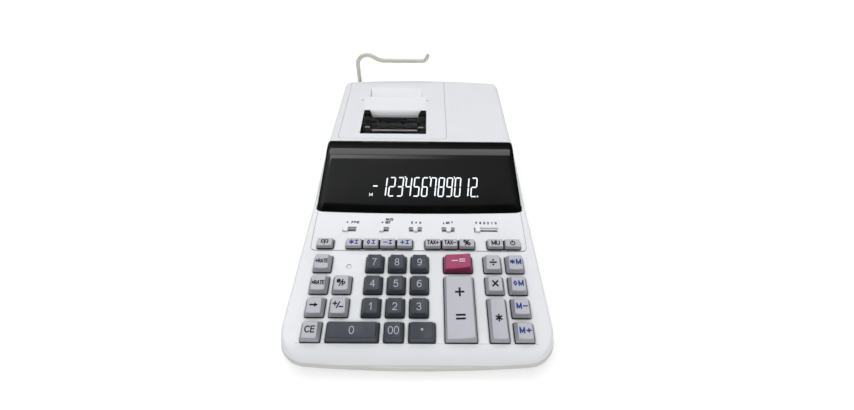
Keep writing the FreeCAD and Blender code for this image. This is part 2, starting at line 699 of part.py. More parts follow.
def chute_room():
    """The room of the paper chute, narrower toward its floor."""
    x0, x1 = CHUTE
    top, low = deck_z(BRIDGE_LINE[-1][0]), 40.0
    lean = CHUTE_LEAN * (top - low)
    y, end_y = 100.0, CHUTE_Y[2]
    section = [Vec(x0, y, 90), Vec(x1, y, 90), Vec(x1, y, top),
               Vec(x1 - lean, y, low), Vec(x0 + lean, y, low), Vec(x0, y, top)]
    return raised(Part.Face(Part.makePolygon(section + section[:1])), Vec(0, end_y - y, 0))


def make_cover(outer, inner):
    """Lift-off lid: a plate that follows the deck and folds over its back edge."""
    lid = outer.common(lid_blank(0.0)).cut(inner)
    x0, x1, y0, y1 = OUTLET
    bx0, bx1 = BRIDGE
    cx0, cx1 = CHUTE
    walls_y, chute_y, end_y = CHUTE_Y
    lid = cut(lid, [box(x0, x1, y0, y1, 50, 90), box(bx0, bx1, y1 - 1, BRIDGE_LINE[-1][0], 50, 90),
                    box(cx0, cx1, chute_y, end_y, 50, 90)])
    wall = RECESS_WALL
    deep = strip([(y0 - wall, 0.3), (y1, 0.3)], RECESS_DEPTH, x0 - wall, x1 + wall)
    deep = deep.cut(box(x0, x1, y0, y1 + 1, 50, 90))
    sides = strip([(y1, 0.3), (RAMP_LINE[1][0], 0.3)], BRIDGE_SIDE_DEPTH, bx0 - wall, bx1 + wall)
    sides = sides.cut(box(bx0, bx1, 80, 130, 40, 90))
    bridge = fuse([strip(BRIDGE_LINE, LID_STRIP, bx0, bx1), lip()])
    ramp = strip(RAMP_LINE, LID_STRIP, cx0 - wall, cx1 + wall)
    cheeks = strip([(walls_y, 0.3), (end_y + 1.0, 0.3)], CHUTE_DEPTH, cx0 - wall, cx1 + wall)
    cheeks = cheeks.cut(chute_room())
    sole = [(90.0, 16.0)] + RAMP_LINE + [(160.0, 0.0)]
    sole = [(y, deck_z(y) - drop - LID_STRIP) for y, drop in sole]
    under = side_prism(sole + [(160.0, 40.0), (90.0, 40.0)], -80.0, 30.0)
    cover = fuse([lid, deep, sides, bridge, ramp, cheeks.cut(under)])
    ny0, ny1, wide, depth = NOTCH
    z = deck_z(ny0) - depth
    return cut(cover, [box(bx0 - wide, bx0, ny0, ny1, z, 90), box(bx1, bx1 + wide, ny0, ny1, z, 90)])


def make_tear_bar():
    """Smoked plate in the outlet, toothed along its upper edge to tear the paper."""
    x0, x1 = OUTLET[0] + 0.1, OUTLET[1] - 0.1
    bar = strip(WINDOW_LINE, TEAR_PLATE, x0, x1)
    y, drop = WINDOW_LINE[1]
    z = deck_z(y) - drop
    pitch, wide, long = TOOTH
    teeth = []
    for i in range(int((x1 - x0) / pitch)):
        x = x0 + pitch * (i + 0.5) - wide / 2
        corners = [Vec(x, y, z), Vec(x + wide, y, z), Vec(x + wide / 2, y + long, z)]
        tooth = Part.Face(Part.makePolygon(corners + corners[:1]))
        teeth.append(raised(tooth, Vec(0, 0, -0.8)))
    return fuse([bar] + teeth)


# Printer

def make_printer_frame():
    """Black frame: base, two side walls with edge guides, spool posts, guide rod and motor."""
    pieces = [plate(*FRAME_BASE, 3.0, *FRAME_BASE_Z)]
    foot = FRAME_BASE_Z[0] + 1.0
    top = [(y, deck_z(y) - drop) for y, drop in FRAME_WALL_TOP]
    for x0, x1 in FRAME_WALLS:
        pieces.append(side_prism([(top[0][0], foot)] + top + [(top[-1][0], foot)], x0, x1))
    guides = [g.common(box(-70, 20, 60, 100, 60, deck_z(90.0) - 0.1)) for g in edge_guides()]
    window_room = strip([(40.0, 7.5), (86.0, -0.9)], 3.8, -70.0, 20.0)
    above = side_prism([(60.0, 80.0), (60.0, deck_z(60.0) - 5.0), (85.2, deck_z(85.2) - 0.7), (85.2, 80.0)],
                       -70.0, 20.0)
    pieces += [g.cut(window_room).cut(above) for g in guides]
    for x in SPOOLS.values():
        pieces.append(post(x, SPOOL_Y, foot, SPOOL_Z[1] + 1.3, SPOOL_BORE_R - 0.05))
        pieces.append(post(x, SPOOL_Y, foot, SPOOL_Z[0] - 0.3, 4.0))
    pieces.append(rod_x(FRAME_WALLS[0][1] - 0.4, FRAME_WALLS[1][0] + 0.4, *GUIDE_ROD))
    pieces.append(rod_x(*MOTOR))
    pieces.append(box(MOTOR[0], MOTOR[1], MOTOR[2] - 7.0, MOTOR[2] + 7.0, foot, 36.0))
    bores = [rod_x(-70.0, 12.0, DRUM[0], DRUM[1], SHAFT_R + SHAFT_GAP),
             rod_x(-70.0, 12.0, ROLLER[0], ROLLER[1], SHAFT_R + SHAFT_GAP)]
    return cut(fuse(pieces), bores)


def make_drum():
    """Print drum: a row of type rings on a shaft."""
    y, z = DRUM
    left, right, pitch, wide = TYPE_RINGS
    starts = [left + pitch * i for i in range(int((right - left) / pitch))]
    rings = [rod_x(x, x + wide, y, z, DRUM_R) for x in starts]
    core = rod_x(left - 0.6, right, y, z, DRUM_R - 1.4)
    return fuse([rod_x(*SHAFT_ENDS, y, z, SHAFT_R), core] + rings)


def make_roller():
    """Feed roller: three rubber sleeves on one shaft."""
    y, z = ROLLER
    sleeves = [rod_x(x, x + SLEEVE_LENGTH, y, z, SLEEVE_R) for x in SLEEVES]
    return fuse([rod_x(*SHAFT_ENDS, y, z, SHAFT_R), rod_x(-56.0, -1.0, y, z, 2.6)] + sleeves)


def make_spools():
    """Ribbon spools: two rims, the wound ribbon between them and a driving slot on top."""
    parts = {}
    low, high = SPOOL_Z
    for name, x in SPOOLS.items():
        body = fuse([post(x, SPOOL_Y, low, low + SPOOL_RIM, SPOOL_RIM_R),
                     post(x, SPOOL_Y, low + SPOOL_RIM, high - SPOOL_RIM, SPOOL_INK_R),
                     post(x, SPOOL_Y, high - SPOOL_RIM, high, SPOOL_RIM_R)])
        slot = box(x - 0.5, x + 0.5, SPOOL_Y + 3.0, SPOOL_Y + 6.0, high - 0.9, high + 1.0)
        parts[name] = cut(body, [post(x, SPOOL_Y, low - 1.0, high + 1.0, SPOOL_BORE_R), slot])
    return parts


def make_transformer():
    """Power transformer: laminated core, wound bobbin and mounting tabs."""
    core = box(46.0, 88.0, 106.0, 128.0, TRANSFORMER_Z, 45.0)
    bobbin = plate(54.0, 80.0, 98.0, 136.0, 4.0, 14.0, 40.0)
    tabs = box(40.0, 94.0, 110.0, 124.0, TRANSFORMER_Z, 10.5)
    holes = [post(x, TRANSFORMER_Y, 5.0, 12.0, 1.8) for x in TRANSFORMER_TAB_X]
    return cut(fuse([core, bobbin, tabs]), holes)


# Paper arm

def arm_path():
    """Centre line of the wire, from its pivot end to its free tip."""
    bend, hump, ease, tip = 6.0, 12.5, 20.0, 6.0
    x, z0 = ARM_LEG_X, ARM_PIVOT_Z
    leg_top = 90.0
    slope = math.radians(30.0)

    def at(px, pz):
        return Vec(px, ARM_Y, pz)

    def round_at(cx, cz, r, start, end):
        pts = [at(cx + r * math.cos(t), cz + r * math.sin(t)) for t in (start, (start + end) / 2, end)]
        return Part.Arc(*pts).toShape(), pts[2]

    edges = []
    first, corner = round_at(x + bend, z0 + bend, bend, -math.pi / 2, -math.pi)
    edges.append(Part.LineSegment(at(ARM_AXLE_END, z0), at(x + bend, z0)).toShape())
    edges.append(first)
    edges.append(Part.LineSegment(corner, at(x, leg_top)).toShape())
    arc, end = round_at(x + hump, leg_top, hump, math.pi, math.pi / 2 - slope)
    edges.append(arc)
    drop = end.z - ARM_BAR_Z - ease * (1 - math.cos(slope))
    down = at(end.x + drop / math.tan(slope), end.z - drop)
    edges.append(Part.LineSegment(end, down).toShape())
    foot = down.x + ease * math.sin(slope)
    arc, end = round_at(foot, ARM_BAR_Z + ease, ease, -math.pi / 2 - slope, -math.pi / 2)
    edges.append(arc)
    edges.append(Part.LineSegment(end, at(0.6, ARM_BAR_Z)).toShape())
    arc, end = round_at(0.6, ARM_BAR_Z + tip, tip, -math.pi / 2, -math.radians(20.0))
    edges.append(arc)
    away = at(end.x + 3.0 * math.sin(math.radians(20.0)), end.z + 3.0 * math.cos(math.radians(20.0)))
    edges.append(Part.LineSegment(end, away).toShape())
    return Part.Wire(edges), away


def make_arm():
    wire, tip = arm_path()
    start = Vec(ARM_AXLE_END, ARM_Y, ARM_PIVOT_Z)
    ring = Part.Wire(Part.makeCircle(ARM_R, start, Vec(-1, 0, 0)))
    tube = wire.makePipeShell([ring], True, False)
    cap = Part.makeSphere(ARM_R, tip)
    collar = rod_x(ARM_AXLE_END - 1.5, ARM_AXLE_END, ARM_Y, ARM_PIVOT_Z, ARM_R + 0.9)
    return fuse([tube, cap, collar])


# Shells

def roof_z(x, y):
    """Underside of the upper case above a screw boss, roughly."""
    if y < -20:
        return keypad_z(y) - 8.5
    if y < 20:
        return 44.0
    return 60.0


def make_lower_case():
    """Tray with a lip inside the upper case, screw bosses, board rests and printer posts."""
    slab = plan_body(0.0).common(box(-130, 130, -180, 180, BASE_Z, PARTING_Z))
    bottom = min(slab.Faces, key=lambda f: f.CenterOfMass.z)
    slab = try_fillet(slab, 2.0, bottom.Edges)
    room = plan_body(WALL + 1.3).common(box(-130, 130, -180, 180, BASE_Z + WALL, 40))
    lip = case_body(WALL + 0.15).common(box(-130, 130, -180, 180, BASE_Z + 1.0, PARTING_Z + 2.0)).cut(room)
    tray = fuse([slab.cut(room), lip])
    add, holes = [], []
    for x, y in SCREW_SPOTS:
        add.append(post(x, y, BASE_Z + 0.5, PARTING_Z, 4.6))
        holes.append(post(x, y, 0.0, 6.5, 3.2))
        holes.append(post(x, y, 6.0, 12.0, SCREW_R + 0.15))
    for x, y in FRAME_LEGS:
        add.append(post(x, y, BASE_Z + 1.0, FRAME_BASE_Z[0], 3.5))
    for x in (48.0, 86.0):
        add.append(post(x, TRANSFORMER_Y, BASE_Z + 1.0, TRANSFORMER_Z, 4.0))
    for x, y in BOARD_REST_SPOTS:
        top = keypad_z(y) + BOARD_BOTTOM / math.cos(KEY_SLOPE) - 0.8
        add.append(post(x, y, BASE_Z + 1.0, top, 2.5))
    holes += [post(x, y, 0.0, BASE_Z + 1.0, FOOT_R + 0.2) for x, y in FOOT_SPOTS]
    vents = [box(x, x + 2.0, 60.0, 110.0, 0.0, 8.0) for x in range(-36, 37, 8)]
    return cut(fuse([tray] + add), holes + vents)


def make_upper_case(outer, shell_room):
    """White shell: walls, panel with its openings, ledge for the lid, bosses and arm bracket."""
    shell = outer.cut(shell_room)
    tools = [lid_blank(COVER_GAP).cut(box(-100, 100, 0, 300, 0, 64.0))]
    add = []
    left, right, front = COVER
    band = case_body(COVER_PLATE + 0.15).cut(case_body(COVER_PLATE + 2.2))
    wide = plate(left - 3, right + 3, front - 3, 200.0, 5.0, 61.5, 90.0)
    ledge = band.common(wide).cut(plate(left + 3.0, right - 3.0, front + 3.0, 156.0, 4.0, 50.0, 90.0))
    add.append(ledge)
    for _, x, row, width, rows in KEYS:
        v, depth = row_v(row, rows)
        tools.append(to_keypad(plate(x - width / 2, x + width / 2, v, v + depth, 1.0, -5.0, 5.0)))
    for (x0, x1), _ in FN_GROUPS:
        tools.append(to_keypad(plate(x0, x1, FN_ROW_V, FN_ROW_V + FN_DEPTH, 0.9, -5.0, 5.0)))
    for _, x0, x1, _ in SWITCHES:
        tools.append(to_keypad(plate(x0, x1, SLOT_V[0], SLOT_V[1], 0.4, SLOT_FLOOR, 5.0)))
        tools.append(to_keypad(box(x0 + 0.8, x1 - 0.8, SLOT_MIDDLE - 0.9, SLOT_MIDDLE + 0.9, -5.0, 0.0)))
    tools.append(to_keypad(post(RESET_SPOT[0], RESET_SPOT[1], -5.0, 5.0, RESET_R)))
    half, low, line, deep = OUTLINE
    groove = plate(-half, half, low, 140.0, 4.5, -deep, 2.0)
    groove = groove.cut(plate(line - half, half - line, low + line, 141.0, 4.0, -1.0, 3.0))
    tools.append(to_keypad(groove))
    x0, x1, s0, s1 = WINDOW
    tools.append(to_face(box(x0, x1, s0, s1, -9.0, 2.0)))
    bosses, bores = [], []
    for x, y in SCREW_SPOTS:
        bosses.append(post(x, y, PARTING_Z + 0.1, roof_z(x, y) + 20.0, 4.2))
        bores.append(post(x, y, PARTING_Z - 1.0, PARTING_Z + 14.0 if y > -100 else 20.0, SCREW_R + 0.05))
    keep = shell_room.common(box(-130, 130, -170, 170, PARTING_Z, 90))
    inner_bosses = [b.common(keep) for b in bosses]
    bracket = box(BRACKET[0], BRACKET[1], 155.0, ARM_Y, ARM_PIVOT_Z - EYE_R, ARM_PIVOT_Z + EYE_R)
    eye = rod_x(BRACKET[0], BRACKET[1], ARM_Y, ARM_PIVOT_Z, EYE_R)
    pivot = rod_x(BRACKET[0] - 1, BRACKET[1] + 1, ARM_Y, ARM_PIVOT_Z, ARM_R + 0.08)
    body = cut(fuse([shell] + inner_bosses), tools + bores)
    body = fuse([body, ledge, bracket.cut(case_body(1.0)), eye]).cut(pivot)
    x, z = INLET
    end = HALF_DEPTH - 1.0
    back = Vec(0, 1, 0)
    gland = Part.makeCylinder(GLAND_R, 9.0, Vec(x, end - 8.0, z), back)
    gland = gland.fuse(Part.makeCylinder(GLAND_RIM_R, 2.5, Vec(x, end - 1.5, z), back))
    bore = Part.makeCylinder(INLET_R, 40.0, Vec(x, end - 20.0, z), back)
    return fuse([body, gland]).cut(bore)


def make_feet():
    return Part.makeCompound([post(x, y, 0.0, BASE_Z + 0.9, FOOT_R) for x, y in FOOT_SPOTS])


def make_screws():
    """Six pan-head screws driven up from below."""
    screws = []
    for x, y in SCREW_SPOTS:
        shank_top = PARTING_Z + 9.0 if y > -100 else 18.0
        head = post(x, y, 3.4, 6.1, 2.8)
        slot = box(x - 2.0, x + 2.0, y - 0.35, y + 0.35, 3.0, 4.4)
        screws.append(fuse([head.cut(slot), post(x, y, 5.5, shank_top, SCREW_R)]))
    return Part.makeCompound(screws)


def build():
    outer = case_body(0.0).common(box(-130, 130, -180, 180, PARTING_Z, 100))
    shell_room = case_body(WALL)
    parts = {
        "upper_case": make_upper_case(outer, shell_room),
        "lower_case": make_lower_case(),
        "display_bezel": make_bezel(),
        "display_module": make_display_module(),
        "main_board": make_main_board(),
        "key_mat": make_key_mat(),
        "key_guide_plate": make_guide_plate(),
        "printer_cover": make_cover(outer, case_body(COVER_PLATE)),
        "tear_bar": make_tear_bar(),
        "printer_frame": make_printer_frame(),
        "print_drum": make_drum(),
        "feed_roller": make_roller(),
        "power_transformer": make_transformer(),
        "rubber_feet": make_feet(),
        "case_screws": make_screws(),
        "paper_arm": make_arm(),
    }
    parts.update(make_spools())
    parts.update(make_keys())
    parts.update(make_knobs())
    return parts


def main():
    os.makedirs("parts", exist_ok=True)
    parts = build()
    shift = Vec(0, FRAME_SHIFT, 0)
    for name, shape in sorted(parts.items()):
        shape.translate(shift)
        if not shape.isValid():
            print("not valid:", name)
        shape.exportStep("parts/" + name + ".step")
    print(len(parts), "nodes")


main()
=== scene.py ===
# %% [markdown]
# # A desktop printing calculator
# It has twelve digits, a printer under a lid, and an arm for the paper roll at the back.
# The solid model is loaded first and stays where it is. Everything after that gives it the
# looks of the real machine: camera, light, plastics, key caps with their printed signs, the
# glossy display hood, the printer under its lid and the wire arm for the paper roll.

# %% Load the solid model
import math

import bpy
import bmesh
import json
from mathutils import Matrix, Vector


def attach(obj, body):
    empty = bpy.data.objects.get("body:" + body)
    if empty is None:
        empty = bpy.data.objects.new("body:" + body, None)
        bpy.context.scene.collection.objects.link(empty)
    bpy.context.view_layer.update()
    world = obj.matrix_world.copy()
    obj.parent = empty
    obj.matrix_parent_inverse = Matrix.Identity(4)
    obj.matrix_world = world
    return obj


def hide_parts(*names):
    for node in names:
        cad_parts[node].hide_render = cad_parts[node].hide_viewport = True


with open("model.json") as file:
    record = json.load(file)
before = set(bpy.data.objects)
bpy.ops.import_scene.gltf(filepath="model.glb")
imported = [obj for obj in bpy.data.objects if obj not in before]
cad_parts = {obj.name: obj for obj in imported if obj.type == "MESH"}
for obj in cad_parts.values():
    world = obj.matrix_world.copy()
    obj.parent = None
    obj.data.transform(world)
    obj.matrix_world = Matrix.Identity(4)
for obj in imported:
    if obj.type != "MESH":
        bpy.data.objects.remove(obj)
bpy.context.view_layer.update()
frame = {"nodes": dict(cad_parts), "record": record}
nodes = frame["nodes"]

# %% [markdown]
# ## The camera
# The keys stand 19.05 mm apart, so the rows in the photograph fix where its camera stood:
# a wide lens, low over the front edge, looking 46 degrees down. The camera comes first,
# because every later choice is judged through it.

# %% Place the camera
MM = 0.001
PHOTO_WIDTH, LENS_PIXELS, SENSOR_WIDTH = 854, 372.6, 36.0
CAMERA_PLACE = Vector((4.6, -276.45, 299.9)) * MM
PITCH, YAW, ROLL = (math.radians(a) for a in (45.98, -0.59, 0.85))

level = Matrix.Rotation(YAW, 3, "Z")
right = level @ Vector((1, 0, 0))
ahead = level @ Vector((0, math.cos(PITCH), -math.sin(PITCH)))
above = level @ Vector((0, math.sin(PITCH), math.cos(PITCH)))
cam_x = math.cos(ROLL) * right + math.sin(ROLL) * above
cam_y = math.cos(ROLL) * above - math.sin(ROLL) * right

cam_data = bpy.data.cameras.new("camera")
cam_data.sensor_width = SENSOR_WIDTH
cam_data.lens = LENS_PIXELS / PHOTO_WIDTH * SENSOR_WIDTH
camera = bpy.data.objects.new("camera", cam_data)
bpy.context.scene.collection.objects.link(camera)
turn = Matrix((cam_x, cam_y, -ahead)).transposed().to_4x4()
camera.matrix_world = Matrix.Translation(CAMERA_PLACE) @ turn
bpy.context.scene.camera = camera
print("lens", round(cam_data.lens, 2), "mm")

# %% [markdown]
# ## Two helpers for node trees
# The room, the floor, a lamp and every material below are small sums of nodes. Two helpers
# keep them readable: one places a math node, the other maps one range of values to another.

# %% Node helpers
def feed_sockets(tree, sockets, values):
    """Set each socket to a plain value, or link it to another node's socket."""
    for socket, value in zip(sockets, values):
        if isinstance(value, (int, float, tuple)):
            socket.default_value = value
        else:
            tree.links.new(value, socket)


def math_node(tree, how, *values):
    node = tree.nodes.new("ShaderNodeMath")
    node.operation = how
    feed_sockets(tree, node.inputs, values)
    return node.outputs[0]


def ranged(tree, value, low, high, to_low=0.0, to_high=1.0, curve="LINEAR"):
    """Map value from low..high to to_low..to_high, held at both ends."""
    node = tree.nodes.new("ShaderNodeMapRange")
    node.interpolation_type = curve
    feed_sockets(tree, node.inputs, (value, low, high, to_low, to_high))
    return node.outputs[0]


print("node helpers ready")

# %% [markdown]
# ## The room
# The display hood is a black mirror, so the room has to be right in it as well as around
# it. The hood's foot and top edge stay black, which says that the room is dark behind the
# camera and low at the back. Its face is a little grey, more so on the left, from a pale
# ceiling. So the room is a gradient that rises to the ceiling and to the left, with two soft
# dark patches. The camera itself sees plain white all round.

# %% World
scene = bpy.context.scene
scene.view_settings.view_transform = "Standard"
world = bpy.data.worlds.new("studio")
scene.world = world
world.use_nodes = True
wt = world.node_tree
sky_way = wt.nodes.new("ShaderNodeTexCoord")


def toward(x, y, z):
    """How closely a direction points along (x, y, z): the cosine between them."""
    node = wt.nodes.new("ShaderNodeVectorMath")
    node.operation = "DOT_PRODUCT"
    wt.links.new(sky_way.outputs["Generated"], node.inputs[0])
    node.inputs[1].default_value = Vector((x, y, z)).normalized()
    return node.outputs["Value"]


def cos_of(degrees):
    return math.cos(math.radians(degrees))


def dark_patch(turned_back, raised, outer, inner, left_over):
    """A soft dark patch: full inside the inner angle, gone outside the outer one."""
    way = -cos_of(raised) if turned_back else cos_of(raised)
    return ranged(wt, toward(0.0, way, math.sin(math.radians(raised))), cos_of(outer), cos_of(inner),
                  1.0, left_over, "SMOOTHSTEP")


HORIZON, CEILING, RISE_START, RISE_END = 0.10, 0.62, 0.25, 0.85
LEFT_SHARE, RIGHT_SHARE, SIDE_END = 1.7, 0.3, 0.8
height_light = ranged(wt, toward(0, 0, 1), RISE_START, RISE_END, HORIZON, CEILING, "SMOOTHSTEP")
side_light = ranged(wt, toward(1, 0, 0), -SIDE_END, SIDE_END, LEFT_SHARE, RIGHT_SHARE, "SMOOTHSTEP")
behind_camera = dark_patch(True, 32, 47, 29, 0.05)
low_at_back = dark_patch(False, 8, 44, 32, 0.42)
room = wt.nodes["Background"]
room.inputs["Color"].default_value = (0.95, 0.97, 1.0, 1)
room_light = math_node(wt, "MULTIPLY", math_node(wt, "MULTIPLY", height_light, side_light),
                       math_node(wt, "MULTIPLY", behind_camera, low_at_back))
camera_ray = wt.nodes.new("ShaderNodeLightPath").outputs["Is Camera Ray"]
PLAIN_WHITE = 1.1
wt.links.new(math_node(wt, "MAXIMUM", room_light, math_node(wt, "MULTIPLY", camera_ray, PLAIN_WHITE)),
             room.inputs["Strength"])
print("room ready")

# %% [markdown]
# ## Floor and lamps
# The machine stands on a white sweep. The floor keeps its own shading, so the shadow stays,
# and is lifted toward white only where the camera or a reflection sees it, a little more far
# away. The main lamp is a wide soft box high at the back: it makes the broad highlight along
# the top of the hood, which fixes how high it hangs, between 44 and 66 degrees. A dimmer one
# overhead is only there to be mirrored: it gives the thin second highlight on the hood's
# crease and fades out to the right, as in the photograph. A soft box over the front and three
# low ones light the keys and the front wall, and no mirror shows them.

# %% Floor
bpy.ops.mesh.primitive_plane_add(size=8.0, location=(0, 0, 0))
floor = bpy.context.object
floor.name = "floor"
floor_mat = bpy.data.materials.new("floor_white")
floor_mat.use_nodes = True
ft = floor_mat.node_tree
floor_shader = ft.nodes["Principled BSDF"]
floor_shader.inputs["Base Color"].default_value = (0.6, 0.6, 0.597, 1)
floor_shader.inputs["Roughness"].default_value = 0.7
floor_shader.inputs["Specular IOR Level"].default_value = 0.1
floor_shader.inputs["Emission Color"].default_value = (1, 1, 1, 1)
ray = ft.nodes.new("ShaderNodeLightPath").outputs
seen = math_node(ft, "MAXIMUM", math_node(ft, "MAXIMUM", ray["Is Camera Ray"], ray["Is Glossy Ray"]),
                 ray["Is Transmission Ray"])
from_middle = ft.nodes.new("ShaderNodeVectorMath")
from_middle.operation = "LENGTH"
ft.links.new(ft.nodes.new("ShaderNodeTexCoord").outputs["Object"], from_middle.inputs[0])
NEAR, FAR, LIFT_NEAR, LIFT_FAR = 0.5, 2.5, 0.50, 1.0
lift = ranged(ft, from_middle.outputs["Value"], NEAR, FAR, LIFT_NEAR, LIFT_FAR)
ft.links.new(math_node(ft, "MULTIPLY", lift, seen), floor_shader.inputs["Emission Strength"])
floor.data.materials.append(floor_mat)
print("floor ready")


# %% Lamps
def area_light(name, place, target, size, power, mirrored=True, lights=True):
    """A soft light at place, aimed at target; sizes in metres, power in watts.
    mirrored: glossy surfaces show it. lights: it also lights what is not glossy."""
    data = bpy.data.lights.new(name, "AREA")
    data.shape = "RECTANGLE"
    data.size, data.size_y = size
    data.energy = power
    lamp = bpy.data.objects.new(name, data)
    scene.collection.objects.link(lamp)
    lamp.location = place
    lamp.rotation_euler = (Vector(target) - Vector(place)).to_track_quat("-Z", "Y").to_euler()
    lamp.visible_glossy = mirrored
    lamp.visible_diffuse = lights
    return lamp


area_light("back_softbox", (-0.05, 0.887, 1.653), (0, 0.01, 0.07), (2.8, 0.9), 19.5)
overhead = area_light("top_softbox", (-0.55, 0.051, 1.9), (-0.55, 0.051, 0), (1.5, 0.564), 9.3, lights=False)
overhead.data.use_nodes = True
lt = overhead.data.node_tree
on_lamp = lt.nodes.new("ShaderNodeSeparateXYZ")
lt.links.new(lt.nodes.new("ShaderNodeNewGeometry").outputs["Parametric"], on_lamp.inputs[0])
FADE_START = 0.55           # share of the lamp's width where it starts to fade
lt.links.new(ranged(lt, on_lamp.outputs["X"], FADE_START, 1.0, 1.0, 0.0),
             lt.nodes["Emission"].inputs["Strength"])
for name, place, target, size, power in (
        ("fill_softbox", (0.15, -1.15, 1.6), (0, -0.05, 0.05), (1.2, 0.8), 9.4),
        ("front_left_softbox", (-1.25, -1.0, 0.45), (0, -0.1, 0.04), (0.9, 0.9), 2.8),
        ("front_right_softbox", (1.25, -1.0, 0.45), (0, -0.1, 0.04), (0.9, 0.9), 5.2),
        ("low_softbox", (0.1, -1.9, 0.2), (0, -0.17, 0.03), (2.6, 0.3), 6.0)):
    area_light(name, place, target, size, power, mirrored=False)

# %% [markdown]
# ## Places on the machine
# The keypad is a tilted plane, so keys and signs are drawn in its own terms: x across, v up
# the slope and n out of the panel, all in millimetres. The display face works the same way.

# %% From the keypad and the face to the room
SLOPE, DECK_SLOPE = math.radians(9.2), math.radians(1.51)
KEYPAD, DECK = (-149.9, 23.4), (157.5, 75.9)
FACE_LOW, FACE_TOP = (-32.5, 45.0), (13.5, 72.5)
FACE_ANGLE = math.atan2(FACE_TOP[1] - FACE_LOW[1], FACE_TOP[0] - FACE_LOW[0])
MIDDLE_SHIFT = -5.75        # from the drawing's middle to the room's, for the arm at the back


def in_room(x, y, z):
    """A point of the drawing, in millimetres, as a place in the room, in metres."""
    return Vector((x, y + MIDDLE_SHIFT, z)) * MM


def tilted(origin, angle, x, along, off):
    return in_room(x, origin[0] + along * math.cos(angle) - off * math.sin(angle),
                   origin[1] + along * math.sin(angle) + off * math.cos(angle))


def on_keypad(x, v, n=0.0):
    return tilted(KEYPAD, SLOPE, x, v, n)


def on_face(x, s, n=0.0):
    return tilted(FACE_LOW, FACE_ANGLE, x, s, n)


def panel_height(y):
    return KEYPAD[1] + math.tan(SLOPE) * (y - KEYPAD[0])


print("first row of keys starts at", [round(c, 4) for c in on_keypad(0, 0)])


# %% [markdown]
# ## Finishes
# Nearly everything here is moulded plastic. What tells one plastic from another is small:
# the spark texture of the mould, a slight unevenness of tone, the way edges catch light and
# a little dust in the corners. Each of these effects is one node group, built once and
# placed in every material with its own values.


# %% Node group helpers
def new_group(name, inputs, outputs):
    """A node group with named float or colour sockets: inputs as {name: default}."""
    group = bpy.data.node_groups.new(name, "ShaderNodeTree")
    for label, value in inputs.items():
        kind = "NodeSocketColor" if isinstance(value, tuple) else "NodeSocketFloat"
        socket = group.interface.new_socket(label, in_out="INPUT", socket_type=kind)
        socket.default_value = value
    for label, kind in outputs.items():
        group.interface.new_socket(label, in_out="OUTPUT", socket_type=kind)
    start = group.nodes.new("NodeGroupInput")
    end = group.nodes.new("NodeGroupOutput")
    return group, start, end


def mixed_color(tree, mask, first, second, blend="MIX"):
    """A colour mix; first and second are colours or sockets."""
    node = tree.nodes.new("ShaderNodeMix")
    node.data_type = "RGBA"
    node.blend_type = blend
    feed_sockets(tree, (node.inputs[0], node.inputs[6], node.inputs[7]), (mask, first, second))
    return node.outputs[2]


def noise(tree, scale, detail=3.0):
    """Noise in the object's own metres; scale is a number or a socket."""
    place = tree.nodes.new("ShaderNodeTexCoord")
    node = tree.nodes.new("ShaderNodeTexNoise")
    node.inputs["Detail"].default_value = detail
    tree.links.new(place.outputs["Object"], node.inputs["Vector"])
    feed_sockets(tree, [node.inputs["Scale"]], [scale])
    return node.outputs["Fac"]


def grey_color(tree, value):
    """A colour with the same value in all three channels."""
    node = tree.nodes.new("ShaderNodeCombineColor")
    for channel in node.inputs:
        tree.links.new(value, channel)
    return node.outputs[0]


print("group helpers ready")

# %% [markdown]
# ### Tone, grain, edges and dust
# Tone is two sizes of noise that lighten and darken the colour by a percent or so. Grain is
# the height of the fine spark texture. Edges uses the curvature that the renderer measures,
# because handled edges get polished and a little lighter. Dust settles on what faces up.

# %% Build the shared groups
tone, t_in, t_out = new_group(
    "surface_tone",
    {"Color": (0.8, 0.8, 0.8, 1.0), "Spread": 0.03, "Patches per metre": 25.0},
    {"Color": "NodeSocketColor"})
wide = noise(tone, t_in.outputs["Patches per metre"], 2.0)
fine = noise(tone, 900.0, 2.0)
both = math_node(tone, "ADD", math_node(tone, "MULTIPLY", wide, 0.8), math_node(tone, "MULTIPLY", fine, 0.2))
swing = math_node(tone, "MULTIPLY", math_node(tone, "SUBTRACT", both, 0.5), t_in.outputs["Spread"])
level_value = math_node(tone, "ADD", math_node(tone, "MULTIPLY", swing, 4.0), 1.0)
tone.links.new(mixed_color(tone, 1.0, t_in.outputs["Color"], grey_color(tone, level_value), "MULTIPLY"),
               t_out.inputs["Color"])

grain, g_in, g_out = new_group(
    "moulded_grain", {"Grains per metre": 2500.0, "Relief": 1.0}, {"Height": "NodeSocketFloat"})
speck = noise(grain, g_in.outputs["Grains per metre"], 2.0)
drift = noise(grain, 160.0, 1.0)
height = math_node(grain, "ADD", speck, math_node(grain, "MULTIPLY", drift, 0.6))
grain.links.new(math_node(grain, "MULTIPLY", height, g_in.outputs["Relief"]), g_out.inputs["Height"])

edges, e_in, e_out = new_group(
    "handled_edges",
    {"Color": (0.8, 0.8, 0.8, 1.0), "Edge Color": (1.0, 1.0, 1.0, 1.0), "Amount": 0.3},
    {"Color": "NodeSocketColor", "Mask": "NodeSocketFloat"})
geometry = edges.nodes.new("ShaderNodeNewGeometry")
sharp = ranged(edges, geometry.outputs["Pointiness"], 0.52, 0.6)
broken = ranged(edges, noise(edges, 350.0, 3.0), 0.35, 0.65)
mask = math_node(edges, "MULTIPLY", math_node(edges, "MULTIPLY", sharp, broken), e_in.outputs["Amount"])
edges.links.new(mixed_color(edges, mask, e_in.outputs["Color"], e_in.outputs["Edge Color"]),
                e_out.inputs["Color"])
edges.links.new(mask, e_out.inputs["Mask"])

